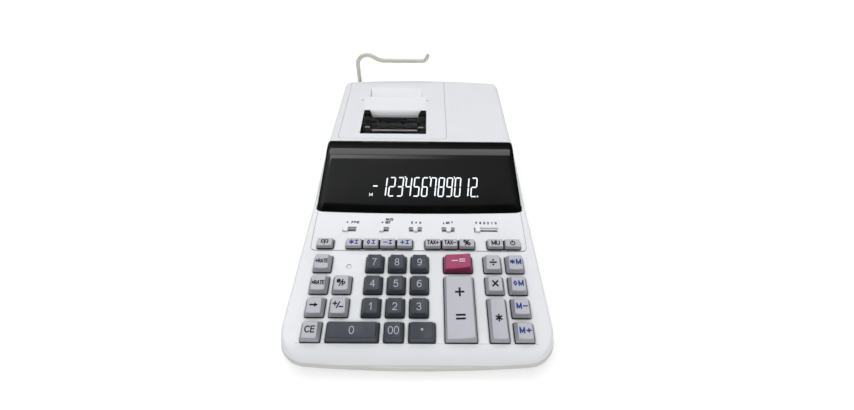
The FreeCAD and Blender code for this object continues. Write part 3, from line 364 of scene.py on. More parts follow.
dust, d_in, d_out = new_group(
    "settled_dust",
    {"Color": (0.8, 0.8, 0.8, 1.0), "Dust Color": (0.55, 0.53, 0.5, 1.0), "Amount": 0.1},
    {"Color": "NodeSocketColor", "Mask": "NodeSocketFloat"})
facing = dust.nodes.new("ShaderNodeSeparateXYZ")
dust.links.new(dust.nodes.new("ShaderNodeNewGeometry").outputs["Normal"], facing.inputs[0])
upward = ranged(dust, facing.outputs["Z"], 0.3, 1.0)
cloudy = ranged(dust, noise(dust, 60.0, 5.0), 0.45, 0.75)
settled = math_node(dust, "MULTIPLY", math_node(dust, "MULTIPLY", upward, cloudy), d_in.outputs["Amount"])
dust.links.new(mixed_color(dust, settled, d_in.outputs["Color"], d_in.outputs["Dust Color"]),
               d_out.inputs["Color"])
dust.links.new(settled, d_out.inputs["Mask"])
print([g.name for g in bpy.data.node_groups])

# %% [markdown]
# ### Hollows
# The white case has narrow wells round the keys and an opening over the printer. Light hardly reaches their
# walls, and in the photograph they are drawn as dark lines, so the walls get a painted shade. A mask finds
# those walls by their place: inside a block of space, and below a sloping surface. The same mask puts painted
# shade on the feet of the keys and painted light on the paper flap, and gives the lowest part of the case the
# grey of the lower shell.

# %% Darken hollows
hollow, h_in, h_out = new_group(
    "dark_hollow",
    {"Color": (0.8, 0.8, 0.8, 1.0), "Hollow Color": (0.02, 0.02, 0.02, 1.0), "Middle X": 0.0, "Reach X": 0.1,
     "Middle Y": 0.0, "Reach Y": 0.1, "Height": 0.05, "Slope": 0.0, "Start": 0.0002, "Full": 0.0006},
    {"Color": "NodeSocketColor", "Mask": "NodeSocketFloat"})
spot = hollow.nodes.new("ShaderNodeSeparateXYZ")
hollow.links.new(hollow.nodes.new("ShaderNodeTexCoord").outputs["Object"], spot.inputs[0])
across = math_node(hollow, "COMPARE", spot.outputs["X"], h_in.outputs["Middle X"], h_in.outputs["Reach X"])
along = math_node(hollow, "COMPARE", spot.outputs["Y"], h_in.outputs["Middle Y"], h_in.outputs["Reach Y"])
surface = math_node(hollow, "MULTIPLY_ADD", spot.outputs["Y"], h_in.outputs["Slope"], h_in.outputs["Height"])
below = ranged(hollow, math_node(hollow, "SUBTRACT", surface, spot.outputs["Z"]),
               h_in.outputs["Start"], h_in.outputs["Full"])
dark = math_node(hollow, "MULTIPLY", math_node(hollow, "MULTIPLY", across, along), below)
hollow.links.new(mixed_color(hollow, dark, h_in.outputs["Color"], h_in.outputs["Hollow Color"]),
                 h_out.inputs["Color"])
hollow.links.new(dark, h_out.inputs["Mask"])
print("hollows ready")


# %% [markdown]
# ### Flanks
# The flanks of the key caps get painted shade. On the light and pink caps the flanks look much darker than a
# change of light alone would make them, and on the dark caps a touch lighter, so there they get painted
# light. A mask by slope finds them: how far a face leans away from the panel. Darker geometry can't do it, so
# each plastic has its own painted tone for its flanks.

# %% Darken flanks
flank, f_in, f_out = new_group(
    "flank_painted_shade_and_light", {"Color": (0.8, 0.8, 0.8, 1.0), "Flank Tone": 0.7, "Steep": 0.6, "Level": 0.88},
    {"Color": "NodeSocketColor", "Mask": "NodeSocketFloat"})
lean = flank.nodes.new("ShaderNodeVectorMath")
lean.operation = "DOT_PRODUCT"
flank.links.new(flank.nodes.new("ShaderNodeNewGeometry").outputs["Normal"], lean.inputs[0])
lean.inputs[1].default_value = (0.0, -math.sin(SLOPE), math.cos(SLOPE))
flatness = ranged(flank, lean.outputs["Value"], f_in.outputs["Steep"], f_in.outputs["Level"])
share = ranged(flank, flatness, 0.0, 1.0, f_in.outputs["Flank Tone"], 1.0)
flank.links.new(mixed_color(flank, 1.0, f_in.outputs["Color"], grey_color(flank, share), "MULTIPLY"),
                f_out.inputs["Color"])
flank.links.new(flatness, f_out.inputs["Mask"])
print("flanks ready")


# %% [markdown]
# ### The plastics
# One recipe makes all the plastics: tone, then dust, then edges for the colour, with the grain as a bump.
# Keys add painted shade on their flanks and feet, with painted light on the flanks of the dark caps, and the
# case its painted shade in the hollows and a painted contact shadow close round each key, which the renderer
# measures as how open a spot is. The shader itself stays in the material, so that its plain numbers, such as
# how strong the highlight is, can be read from outside.

# %% A recipe for plastics
GRAIN_HEIGHT = 0.00004
# A painted contact shadow: black where a spot of the case is closed in by a key, gone where it is open.
CONTACT_SHADOW_BLACK = (0.012, 0.012, 0.012, 1.0)
CLOSED, OPEN = 0.7, 0.93    # how open a spot is where the contact line is full, and where it ends


def place_group(tree, group, color=None, **values):
    """Put a group into a material; color is the socket that feeds its Color."""
    node = tree.nodes.new("ShaderNodeGroup")
    node.node_tree = group
    for label, value in values.items():
        node.inputs[label.replace("_", " ")].default_value = value
    if color is not None:
        tree.links.new(color, node.inputs["Color"])
    return node


def plastic(name, color, rough, spread=0.02, grains=2500.0, relief=0.25, edge=None, worn=0.3,
            dusty=0.05, specular=0.5, hollows=(), flank_shade_and_light=None, contact=None):
    """A moulded plastic. color is what it looks like in plain light."""
    mat = bpy.data.materials.new(name)
    mat.use_nodes = True
    tree = mat.node_tree
    shader = tree.nodes["Principled BSDF"]
    rgba = (*color, 1.0)
    rim = (*edge, 1.0) if edge else tuple(min(1.0, c * 1.25 + 0.02) for c in color) + (1.0,)
    base = place_group(tree, tone, Color=rgba, Spread=spread, Patches_per_metre=25.0)
    film = place_group(tree, dust, base.outputs["Color"], Amount=dusty)
    polish = place_group(tree, edges, film.outputs["Color"], Edge_Color=rim, Amount=worn)
    shown = polish.outputs["Color"]
    # Painted shade on the flanks, or painted light where the flank tone is above one.
    if flank_shade_and_light:
        shown = place_group(tree, flank, shown, Flank_Tone=flank_shade_and_light).outputs["Color"]
    for values in hollows:
        shown = place_group(tree, hollow, shown, **values).outputs["Color"]
    # A painted contact shadow round each key, measured by ambient occlusion.
    if contact:
        reach, values = contact
        near = tree.nodes.new("ShaderNodeAmbientOcclusion")
        near.samples = 8
        near.inputs["Distance"].default_value = reach * MM
        open_share = ranged(tree, near.outputs["AO"], CLOSED, OPEN)
        line = place_group(tree, hollow, shown, **values)
        tree.links.new(mixed_color(tree, open_share, CONTACT_SHADOW_BLACK, shown), line.inputs["Hollow Color"])
        shown = line.outputs["Color"]
    tree.links.new(shown, shader.inputs["Base Color"])
    rougher = math_node(tree, "MULTIPLY_ADD", film.outputs["Mask"], 0.4, rough)
    tree.links.new(math_node(tree, "MULTIPLY_ADD", polish.outputs["Mask"], -0.12, rougher),
                   shader.inputs["Roughness"])
    texture = place_group(tree, grain, Grains_per_metre=grains, Relief=1.0)
    bump = tree.nodes.new("ShaderNodeBump")
    bump.inputs["Strength"].default_value = relief
    bump.inputs["Distance"].default_value = GRAIN_HEIGHT
    tree.links.new(texture.outputs["Height"], bump.inputs["Height"])
    tree.links.new(bump.outputs["Normal"], shader.inputs["Normal"])
    shader.inputs["Specular IOR Level"].default_value = specular
    return mat


def block(x0, x1, y0, y1):
    """The middle and reach of a block between lines of the drawing, in metres."""
    return {"Middle_X": (x0 + x1) / 2 * MM, "Reach_X": (x1 - x0) / 2 * MM,
            "Middle_Y": ((y0 + y1) / 2 + MIDDLE_SHIFT) * MM, "Reach_Y": (y1 - y0) / 2 * MM}


def surface_line(start, slope):
    """Height over the middle of the room, and rise to the back, of a sloping surface."""
    return {"Height": (start[1] - (start[0] + MIDDLE_SHIFT) * math.tan(slope)) * MM, "Slope": math.tan(slope)}


WHITE = (0.80, 0.81, 0.83)
GREY = (0.63, 0.62, 0.595)
SEAM = 12.0                 # how high the grey of the lower shell reaches
UNDER_PANEL = surface_line(KEYPAD, SLOPE)


def keypad_shade_block(x0, x1, y0, y1, tone, start, full):
    """A block round the keypad with a painted shade of this tone, from start to full millimetres below the
    panel.
    """
    return dict(block(x0, x1, y0, y1), Hollow_Color=(tone, tone, tone, 1.0), Start=start * MM,
                Full=full * MM, **UNDER_PANEL)


def dark_block(x0, x1, y0, y1, start, full):
    """A block of the printer's opening, with a painted shade from start to full millimetres below the deck.
    """
    return dict(block(x0, x1, y0, y1), Hollow_Color=(0.004, 0.004, 0.004, 1.0), Start=start * MM,
                Full=full * MM, **surface_line(DECK, DECK_SLOPE))


def painted_light_block(x0, x1, y0, y1, tone):
    """A block of the paper flap with painted light, so that it shows a little whiter than the deck."""
    return dict(dark_block(x0, x1, y0, y1, -3.0, -2.0), Hollow_Color=(tone, tone * 1.01, tone * 1.03, 1.0))


# Painted shade in the switch slots and deep in the key wells, and the lower shell's grey on the lowest part
# of the case.
panel_cuts = [keypad_shade_block(-96.0, 96.0, -73.6, -8.0, 0.48, 0.12, 0.35),
              keypad_shade_block(55.6, 73.0, -54.5, -46.5, 0.75, 0.12, 0.35),
              keypad_shade_block(-93.0, 93.0, -149.95, -61.2, 0.012, 0.3, 0.6),
              dict(block(-120.0, 120.0, -170.0, 160.0), Hollow_Color=(*GREY, 1.0), Start=0.0, Full=0.0001,
                   Height=SEAM * MM, Slope=0.0)]
# Painted shade on the lowest part of each cap, where the gap round it lies in shadow.
foot_shade = [keypad_shade_block(-93.0, 93.0, -151.0, -41.0, 0.012, -1.5, -0.9)]
# Painted light on the paper flap, and painted shade inside the printer's opening.
outlet = [painted_light_block(-64.4, 6.0, 94.6, 120.7, 0.84), painted_light_block(-57.1, 0.1, 90.4, 94.6, 0.95),
          dark_block(-57.1, 0.1, 90.0, 92.0, 6.9, 7.4), dark_block(-67.0, 9.0, 47.0, 90.4, 0.4, 0.9),
          dark_block(-67.0, -57.1, 90.4, 94.55, 0.4, 0.9), dark_block(0.1, 9.0, 90.4, 94.55, 0.4, 0.9),
          dark_block(-67.0, 9.0, 94.7, 121.0, 2.3, 2.7)]
finish = {
    "case_white": plastic("case_white", WHITE, 0.42, 0.008, relief=0.35, worn=0.1),
    # The case round the keys carries painted shade in its wells and a painted contact shadow.
    "case_wells": plastic("case_wells", WHITE, 0.42, 0.008, relief=0.35, worn=0.1, hollows=panel_cuts,
                          contact=(2.2, keypad_shade_block(-94.0, 94.0, -149.95, -61.2, 0.012, -0.3, -0.2))),
    "case_outlet": plastic("case_outlet", WHITE, 0.42, 0.008, relief=0.35, worn=0.1, hollows=outlet),
    "case_grey": plastic("case_grey", GREY, 0.5, 0.012, relief=0.45),
    "bezel_black": plastic("bezel_black", (0.0025, 0.0025, 0.0025), 0.075, 0.01, relief=0.02, worn=0.0,
                           dusty=0.004, specular=0.38),
    "module_black": plastic("module_black", (0.02, 0.02, 0.022), 0.4),
    # Flank tones: painted shade on the flanks of light and pink caps, painted light on the flanks of dark
    # caps.
    "key_dark": plastic("key_dark", (0.046, 0.053, 0.065), 0.42, 0.03, relief=0.3, worn=0.12, specular=0.3,
                        hollows=foot_shade, flank_shade_and_light=1.15),
    "key_light": plastic("key_light", (0.50, 0.496, 0.543), 0.42, 0.015, relief=0.3, worn=0.12, specular=0.3,
                         hollows=foot_shade, flank_shade_and_light=0.70),
    "key_pink": plastic("key_pink", (0.35, 0.042, 0.122), 0.40, 0.02, relief=0.3, worn=0.1, specular=0.3,
                        hollows=foot_shade, flank_shade_and_light=0.52),
    "frame_black": plastic("frame_black", (0.005, 0.005, 0.005), 0.5, 0.04, relief=0.5, worn=0.05, dusty=0.01,
                           specular=0.06),
    "drum_grey": plastic("drum_grey", (0.05, 0.048, 0.045), 0.4, 0.05, dusty=0.06, specular=0.2),
    "mat_rubber": plastic("mat_rubber", (0.28, 0.29, 0.30), 0.6, 0.03),
    "roller_rubber": plastic("roller_rubber", (0.02, 0.02, 0.02), 0.7, 0.08, 1200.0, 0.8, dusty=0.1,
                             specular=0.2),
    "foot_rubber": plastic("foot_rubber", (0.035, 0.035, 0.035), 0.75, 0.08, 1500.0, 0.8, dusty=0.2),
    "board_green": plastic("board_green", (0.02, 0.13, 0.06), 0.3, 0.05, 900.0, 0.3),
}
print(len(finish), "plastics")


# %% [markdown]
# ### Metal, wire coating, smoked plastic and ink
# The arm is wire in a smooth beige coat. The tear bar is a thin smoked sheet. Glass shading
# would bend what lies behind it, so a plain low alpha shows it with a faint dark film. Inks
# are flat prints with the faint mottle of pad printing.

# %% Other finishes
def metal(name, color, rough, grains, relief):
    """Bare metal with a fine grain and a little tarnish."""
    mat = plastic(name, color, rough, 0.06, grains, relief, dusty=0.08)
    mat.node_tree.nodes["Principled BSDF"].inputs["Metallic"].default_value = 1.0
    return mat


finish["core_steel"] = metal("core_steel", (0.30, 0.29, 0.28), 0.45, 700.0, 0.8)
finish["screw_steel"] = metal("screw_steel", (0.62, 0.62, 0.64), 0.3, 2000.0, 0.4)
finish["rod_steel"] = metal("rod_steel", (0.50, 0.48, 0.46), 0.3, 2500.0, 0.2)
finish["arm_beige"] = plastic("arm_beige", (0.66, 0.64, 0.56), 0.33, 0.012, 1200.0, 0.15, worn=0.15)
finish["smoked_clear"] = plastic("smoked_clear", (0.02, 0.02, 0.021), 0.06, 0.02, relief=0.03, dusty=0.02,
                                 specular=0.12)
finish["smoked_clear"].node_tree.nodes["Principled BSDF"].inputs["Alpha"].default_value = 0.14
for ink_name, ink_color in (("ink_black", (0.012, 0.012, 0.014)), ("ink_blue", (0.012, 0.05, 0.26)),
                            ("ink_pale", (0.43, 0.46, 0.52)), ("ink_white", (0.80, 0.78, 0.80))):
    finish[ink_name] = plastic(ink_name, ink_color, 0.5, 0.05, 5000.0, 0.2, worn=0.0, dusty=0.0,
                               specular=0.15)
print(sorted(finish))

# %% [markdown]
# ## Finishes for the solid parts
# Most structural parts keep the shape they were drawn with, and only get their plastic,
# rubber or metal. Their edges were rounded where they were drawn.

# %% Dress the solid parts
def dress(name, material):
    node = nodes[name]
    if not node.material_slots:
        node.data.materials.append(finish[material])
    for holder in node.material_slots:
        holder.link = "OBJECT"
        holder.material = finish[material]


for entry in frame["record"]["subparts"]:
    dress(entry["node"], entry["material_slot"])
dress("upper_case", "case_wells")
dress("printer_cover", "case_outlet")
print(len(nodes), "solids dressed")
# %% [markdown]
# ## Pieces from points
# Caps, hood and wire are all made the same way: a list of points and faces becomes a mesh,
# shaded smooth but with its real edges kept sharp, and rides on its body.

# %% Turn points and faces into a piece
def piece(name, points, faces, materials, body, sharp_angle=40.0, place=None):
    """A mesh object from points in metres, or in local terms that place() turns into metres."""
    mesh = bpy.data.meshes.new(name)
    mesh.from_pydata([place(*p) if place else p for p in points], [], faces)
    mesh.validate()
    for m in materials if isinstance(materials, (list, tuple)) else [materials]:
        mesh.materials.append(finish[m])
    tidy = bmesh.new()
    tidy.from_mesh(mesh)
    bmesh.ops.recalc_face_normals(tidy, faces=tidy.faces)
    tidy.to_mesh(mesh)
    tidy.free()
    mesh.shade_smooth()
    mesh.set_sharp_from_angle(angle=math.radians(sharp_angle))
    made = bpy.data.objects.new(name, mesh)
    scene.collection.objects.link(made)
    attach(made, body)
    return made


# %% [markdown]
# ## Key caps
# A key is a stack of rounded rectangles: a low square skirt, a shoulder, then sides that
# lean in to a hollowed top. Rings of points make that stack quickly, and every ring has the
# same number of points, so neighbouring rings join into quads. Around the rim the rings
# follow a small curve, which gives the soft bright edge of a moulded cap.

# %% Rings of a rounded rectangle
CORNER_STEPS = 5
SIDE_STEPS = 10


def ring(x0, x1, v0, v1, r):
    """Points counter-clockwise round a rounded rectangle, the same number for any size."""
    points = []
    centres = ((x1 - r, v1 - r), (x0 + r, v1 - r), (x0 + r, v0 + r), (x1 - r, v0 + r))
    for k, (cx, cv) in enumerate(centres):
        for i in range(CORNER_STEPS + 1):
            a = math.pi / 2 * (k + i / CORNER_STEPS)
            points.append((cx + r * math.cos(a), cv + r * math.sin(a)))
        nx, nv = centres[(k + 1) % 4]
        a = math.pi / 2 * (k + 1)
        ax, av = points[-1]
        bx, bv = nx + r * math.cos(a), nv + r * math.sin(a)
        for i in range(1, SIDE_STEPS):
            t = i / SIDE_STEPS
            points.append((ax + (bx - ax) * t, av + (bv - av) * t))
    return points


def stack_faces(levels, count):
    """Quads between rings, a fan in the last ring's middle and a flat lid on the first."""
    faces = [tuple(reversed(range(count)))]
    for k in range(levels - 1):
        for i in range(count):
            j = (i + 1) % count
            faces.append((k * count + i, k * count + j, (k + 1) * count + j, (k + 1) * count + i))
    top = levels * count
    for i in range(count):
        faces.append(((levels - 1) * count + i, (levels - 1) * count + (i + 1) % count, top))
    return faces


print(len(ring(0, 10, 0, 10, 1)), "points in a ring")


# %% The shape of one cap
SHOULDER, TOP_FRONT, TOP_REAR, DISH = 1.3, 6.0, 7.3, 0.55
LEAN_SIDE, LEAN_FRONT, LEAN_REAR = 2.0, 2.5, 1.0


def top_height(x, v, key):
    """Height of the hollowed top above the panel."""
    cx, v0, width, depth, slant, more_front, more_rear = key
    run = (v - v0 - LEAN_FRONT) / (depth - LEAN_FRONT - LEAN_REAR)
    across = (x - cx) / (width / 2 - LEAN_SIDE)
    dip = DISH * (1 - min(1.0, across * across))
    front = TOP_FRONT + more_front
    return front + (TOP_REAR + more_rear - front) * run - dip + slant * (x - cx) / width


def cap_rings(key):
    """All rings of a cap from the skirt's lower edge to the middle of its top."""
    cx, v0, width, depth = key[:4]
    reach = TOP_REAR + key[6]
    x0, x1, v1 = cx - width / 2, cx + width / 2, v0 + depth
    rings = []
    for inset, n, r in ((0.0, -2.6, 1.1), (0.0, SHOULDER - 0.35, 1.1), (0.08, SHOULDER - 0.1, 1.1),
                        (0.3, SHOULDER, 1.0)):
        rings.append([(x, v, n) for x, v in ring(x0 + inset, x1 - inset, v0 + inset, v1 - inset, r)])
    low = ring(x0 + 0.42, x1 - 0.42, v0 + 0.42, v1 - 0.42, 1.2)
    high = ring(x0 + LEAN_SIDE, x1 - LEAN_SIDE, v0 + LEAN_FRONT, v1 - LEAN_REAR, 1.0)
    rim = []
    for (lx, lv), (hx, hv) in zip(low, high):
        x, v, n = hx, hv, reach
        for _ in range(3):
            n = top_height(x, v, key)
            t = (n - SHOULDER) / (reach - SHOULDER)
            x, v = lx + (hx - lx) * t, lv + (hv - lv) * t
        rim.append((x, v, n, lx, lv))
    rings.append([(x, v, SHOULDER + 0.12) for x, v in low])
    rings.append([(lx + (x - lx) * 0.5, lv + (v - lv) * 0.5, SHOULDER + (n - SHOULDER) * 0.5)
                  for x, v, n, lx, lv in rim])
    soft = 0.75                 # how far the rim's curve reaches, mm
    mx, mv = cx, v0 + depth / 2
    for t in (0.0, 0.25, 0.5, 0.75, 1.0):
        curve = []
        for x, v, n, lx, lv in rim:
            down = soft / (n - SHOULDER)
            a = (x + (lx - x) * down, v + (lv - v) * down, n - soft)
            reach_x = (x1 - x0) / 2 - LEAN_SIDE
            reach_v = depth / 2 - LEAN_REAR
            bx, bv = x - (x - mx) / reach_x * soft, v - (v - mv) / reach_v * soft
            b = (bx, bv, top_height(bx, bv, key))
            curve.append(tuple((1 - t) ** 2 * p + 2 * t * (1 - t) * q + t * t * s
                               for p, q, s in zip(a, (x, v, n), b)))
        rings.append(curve)
    last = rings[-1]
    for share in (0.8, 0.6, 0.4, 0.2, 0.05):
        rings.append([(mx + (x - mx) * share, mv + (v - mv) * share,
                       top_height(mx + (x - mx) * share, mv + (v - mv) * share, key)) for x, v, _ in last])
    return rings


def key_piece(label, points, levels, count, material):
    """Make a cap from its rings of points, in the place of the solid key."""
    made = piece("cap_" + label, points, stack_faces(levels, count), material, "key_" + label + "_body",
                 50.0, on_keypad)
    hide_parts("key_" + label)


# %% [markdown]
# ## The keypad's layout
# Eight columns and four rows at the standard pitch. The zero key is wide, and plus-equals is
# three rows tall. Its top rises a little to the right, as the pink key's above it does.

# %% Make the keys
PITCH_V, WELL, GAP = 19.05, 15.9, 0.5
COLUMNS = {"a": -81.65, "b": -62.7, "c": -37.2, "d": -18.15, "e": 0.9, "g": 63.15, "h": 82.2}
EQUALS = (33.6, 25.5)       # middle and width of the two equals keys
# name, column or (middle, width), row, rows high, plastic
KEYS = [
    ("clear", "a", 0, 1, "light"), ("0", (-49.95, 41.4), 0, 1, "dark"), ("00", "d", 0, 1, "dark"),
    ("point", (3.55, 21.2), 0, 1, "dark"), ("plus_equals", EQUALS, 0, 3, "light"),
    ("total", "g", 0, 2, "light"), ("memory_plus", "h", 0, 1, "light"),
    ("shift", "a", 1, 1, "light"), ("sign", "b", 1, 1, "light"), ("1", "c", 1, 1, "dark"),
    ("2", "d", 1, 1, "dark"), ("3", "e", 1, 1, "dark"), ("memory_minus", "h", 1, 1, "light"),
    ("rate_times", "a", 2, 1, "light"), ("print_date", "b", 2, 1, "light"), ("4", "c", 2, 1, "dark"),
    ("5", "d", 2, 1, "dark"), ("6", "e", 2, 1, "dark"), ("times", "g", 2, 1, "light"),
    ("memory_subtotal", "h", 2, 1, "light"), ("rate_divide", "a", 3, 1, "light"),
    ("7", "c", 3, 1, "dark"), ("8", "d", 3, 1, "dark"), ("9", "e", 3, 1, "dark"),
    ("minus_equals", EQUALS, 3, 1, "pink"), ("divide", "g", 3, 1, "light"),
    ("memory_total", "h", 3, 1, "light"),
]
RISE, PINK_RISE = 2.4, 3.4
BACK_ROW_TALLER = (0.2, 0.7)
PINK_TALLER = (1.4, 2.3)
caps = {}
for label, column, row, rows, shade in KEYS:
    middle, width = column if isinstance(column, tuple) else (COLUMNS[column], WELL)
    slant = (PINK_RISE if shade == "pink" else RISE) if column == EQUALS else 0.0
    more = PINK_TALLER if shade == "pink" else BACK_ROW_TALLER if row == 3 else (0.0, 0.0)
    key = (middle, row * PITCH_V + GAP, width - 2 * GAP, (rows - 1) * PITCH_V + WELL - 2 * GAP, slant, *more)
    caps[label] = key
    rings = cap_rings(key)
    half_way = key[1] + key[3] / 2
    points = [p for r in rings for p in r] + [(middle, half_way, top_height(middle, half_way, key))]
    key_piece(label, points, len(rings), len(rings[0]), "key_" + shade)
print(len(caps), "caps")

# %% [markdown]
# ## Small function keys
# Ten low keys share four openings. They are flat on top with a sloping front, so a shorter
# stack of the same rings does it.

# %% Make the function keys
FN_V, FN_DEPTH, FN_TOP, FN_SPACE, FN_GAP = 80.1, 9.4, 4.7, 0.9, 0.3
FN_GROUPS = [
    (-90.2, -75.2, ["feed"]),
    (-64.6, -5.1, ["grand_total", "grand_subtotal", "grand_minus", "grand_plus"]),
    (5.0, 49.8, ["tax_plus", "tax_minus", "percent"]),
    (60.1, 90.2, ["markup", "power"]),
]
small = {}


def small_key(label, cx, width):
    x0, x1 = cx - width / 2, cx + width / 2
    v0, v1 = FN_V + FN_GAP, FN_V + FN_DEPTH - FN_GAP
    # inset at the sides, the front and the rear, height, corner radius
    steps = [(0.0, 0.0, 0.0, -2.4, 0.7), (0.0, 0.0, 0.0, 0.35, 0.7), (0.06, 0.08, 0.05, 0.6, 0.7),
             (0.35, 0.65, 0.25, 2.7, 0.7), (0.6, 1.0, 0.42, 4.2, 0.65), (0.68, 1.1, 0.5, 4.48, 0.6),
             (0.82, 1.28, 0.62, 4.65, 0.5), (1.05, 1.5, 0.85, FN_TOP, 0.4), (1.6, 2.1, 1.4, FN_TOP, 0.3),
             (width / 2 - 1.0, FN_DEPTH / 2 - 0.6, FN_DEPTH / 2 - 1.2, FN_TOP, 0.2)]
    points = []
    for side, front, rear, n, r in steps:
        points += [(x, v, n) for x, v in ring(x0 + side, x1 - side, v0 + front, v1 - rear, r)]
    count = len(points) // len(steps)
    points.append((cx, (v0 + v1) / 2 + 0.3, FN_TOP))
    key_piece(label, points, len(steps), count, "key_light")
    small[label] = (cx, v0, width, FN_DEPTH - 2 * FN_GAP)


for left, far, labels in FN_GROUPS:
    pitch = (far - left) / len(labels)
    for i, label in enumerate(labels):
        small_key(label, left + pitch * (i + 0.5), pitch - FN_SPACE)
print(len(small), "small caps")

# %% [markdown]
# ## Lettering
# The keys carry plain, even strokes, like a draughtsman's stencil. So each character is a
# few lines and arcs on a grid one unit high, and one function gives the lines their
# thickness. That keeps a letter 2 mm tall as sturdy as a digit 5 mm tall, which a thin
# printed font would not.

# %% Strokes for each character
def arc(cx, cy, rx, ry, start, end):
    steps = max(6, int(abs(end - start) / 18))
    return [(cx + rx * math.cos(math.radians(start + (end - start) * i / steps)),
             cy + ry * math.sin(math.radians(start + (end - start) * i / steps))) for i in range(steps + 1)]


def dot(cx, cy):
    """A single point, which is drawn as a round spot."""
    return [(cx, cy)]


# character: (width, its strokes)
STROKES = {
    "0": (0.62, [arc(0.31, 0.5, 0.29, 0.5, 0, 360)]),
    "1": (0.36, [[(0.02, 0.74), (0.16, 0.82), (0.26, 1.0), (0.26, 0.0)]]),
    "2": (0.62, [arc(0.31, 0.70, 0.28, 0.30, 165, -38) + [(0.03, 0.0), (0.61, 0.0)]]),
    "3": (0.62, [arc(0.30, 0.755, 0.25, 0.245, 160, -90) + arc(0.30, 0.255, 0.29, 0.255, 90, -160)]),
    "4": (0.64, [[(0.46, 0.0), (0.46, 1.0), (0.02, 0.3), (0.64, 0.3)]]),
    "5": (0.62, [[(0.56, 1.0), (0.13, 1.0), (0.07, 0.52)] + arc(0.30, 0.32, 0.29, 0.32, 130, -155)]),
    "6": (0.62, [arc(0.35, 0.55, 0.32, 0.45, 50, 180) + [(0.03, 0.31)], arc(0.31, 0.31, 0.28, 0.31, 0, 360)]),
    "7": (0.58, [[(0.0, 1.0), (0.58, 1.0), (0.40, 0.72), (0.28, 0.42), (0.20, 0.0)]]),
    "8": (0.62, [arc(0.31, 0.76, 0.24, 0.24, 0, 360), arc(0.31, 0.26, 0.29, 0.26, 0, 360)]),
    "9": (0.62, [arc(0.27, 0.45, 0.32, 0.45, -130, 0) + [(0.59, 0.69)], arc(0.31, 0.69, 0.28, 0.31, 0, 360)]),
    "A": (0.68, [[(0.0, 0.0), (0.34, 1.0), (0.68, 0.0)], [(0.13, 0.34), (0.55, 0.34)]]),
    "C": (0.70, [arc(0.38, 0.5, 0.36, 0.5, 48, 312)]),
    "E": (0.56, [[(0.56, 1.0), (0.05, 1.0), (0.05, 0.0), (0.57, 0.0)], [(0.05, 0.52), (0.52, 0.52)]]),
    "F": (0.54, [[(0.54, 1.0), (0.05, 1.0), (0.05, 0.0)], [(0.05, 0.52), (0.48, 0.52)]]),
    "I": (0.10, [[(0.05, 0.0), (0.05, 1.0)]]),
    "K": (0.62, [[(0.05, 0.0), (0.05, 1.0)], [(0.58, 1.0), (0.05, 0.4)], [(0.24, 0.6), (0.62, 0.0)]]),
    "M": (0.78, [[(0.05, 0.0), (0.05, 1.0), (0.39, 0.12), (0.73, 1.0), (0.73, 0.0)]]),
    "P": (0.60, [[(0.05, 0.0), (0.05, 1.0)] + arc(0.34, 0.74, 0.24, 0.26, 90, -90) + [(0.05, 0.48)]]),
    "R": (0.62, [[(0.05, 0.0), (0.05, 1.0)] + arc(0.34, 0.74, 0.24, 0.26, 90, -90) + [(0.05, 0.48)],
                 [(0.34, 0.48), (0.62, 0.0)]]),
    "S": (0.60, [arc(0.30, 0.745, 0.25, 0.255, 30, 270) + arc(0.30, 0.245, 0.27, 0.245, 90, -150)]),
    "T": (0.60, [[(0.0, 1.0), (0.60, 1.0)], [(0.30, 1.0), (0.30, 0.0)]]),
    "U": (0.64, [[(0.05, 1.0)] + arc(0.32, 0.3, 0.27, 0.3, 180, 360) + [(0.59, 1.0)]]),
    "X": (0.62, [[(0.0, 0.0), (0.62, 1.0)], [(0.0, 1.0), (0.62, 0.0)]]),
    "+": (0.66, [[(0.0, 0.47), (0.66, 0.47)], [(0.33, 0.14), (0.33, 0.80)]]),
    "-": (0.60, [[(0.0, 0.47), (0.60, 0.47)]]),
    "=": (0.66, [[(0.0, 0.62), (0.66, 0.62)], [(0.0, 0.32), (0.66, 0.32)]]),
    "x": (0.60, [[(0.03, 0.2), (0.57, 0.74)], [(0.03, 0.74), (0.57, 0.2)]]),
    "d": (0.64, [[(0.0, 0.47), (0.64, 0.47)], dot(0.32, 0.80), dot(0.32, 0.14)]),
    "%": (0.92, [[(0.22, 0.0), (0.70, 1.0)], arc(0.19, 0.76, 0.17, 0.22, 0, 360),
                 arc(0.73, 0.24, 0.17, 0.22, 0, 360)]),
    "/": (0.40, [[(0.0, -0.04), (0.40, 1.04)]]),
    "*": (0.72, [[(0.36, 0.10), (0.36, 0.90)], [(0.02, 0.30), (0.70, 0.70)], [(0.02, 0.70), (0.70, 0.30)]]),
    "o": (0.50, [[(0.25, 0.92), (0.50, 0.48), (0.25, 0.04), (0.0, 0.48), (0.25, 0.92)]]),
    ".": (0.26, [dot(0.13, 0.5)]),
    "^": (0.34, [[(0.17, 0.0), (0.17, 0.9)], [(0.0, 0.62), (0.17, 1.0), (0.34, 0.62)]]),
    "v": (0.34, [[(0.17, 0.1), (0.17, 1.0)], [(0.0, 0.38), (0.17, 0.0), (0.34, 0.38)]]),
    " ": (0.22, []),
}
print(len(STROKES), "characters")


# %% [markdown]
# ### Strokes with thickness
# Ink strokes meet at corners. Where a line turns sharply, as in an M, one mitred strip would
# pinch and lose its weight, so the line is cut there into separate strips, each a little
# longer than its line, and their ends overlap.

# %% Thicken strokes into flat shapes
SHARP_TURN = math.radians(40.0)
SPOT_SIDES, SPOT_RADIUS = 14, 0.62      # the radius is a share of the stroke's thickness
END_REACH = 0.42                        # and so is how far a strip runs past its line


def turn_at(a, b, c):
    first = math.atan2(b[1] - a[1], b[0] - a[0])
    second = math.atan2(c[1] - b[1], c[0] - b[0])
    return abs((second - first + math.pi) % (2 * math.pi) - math.pi)


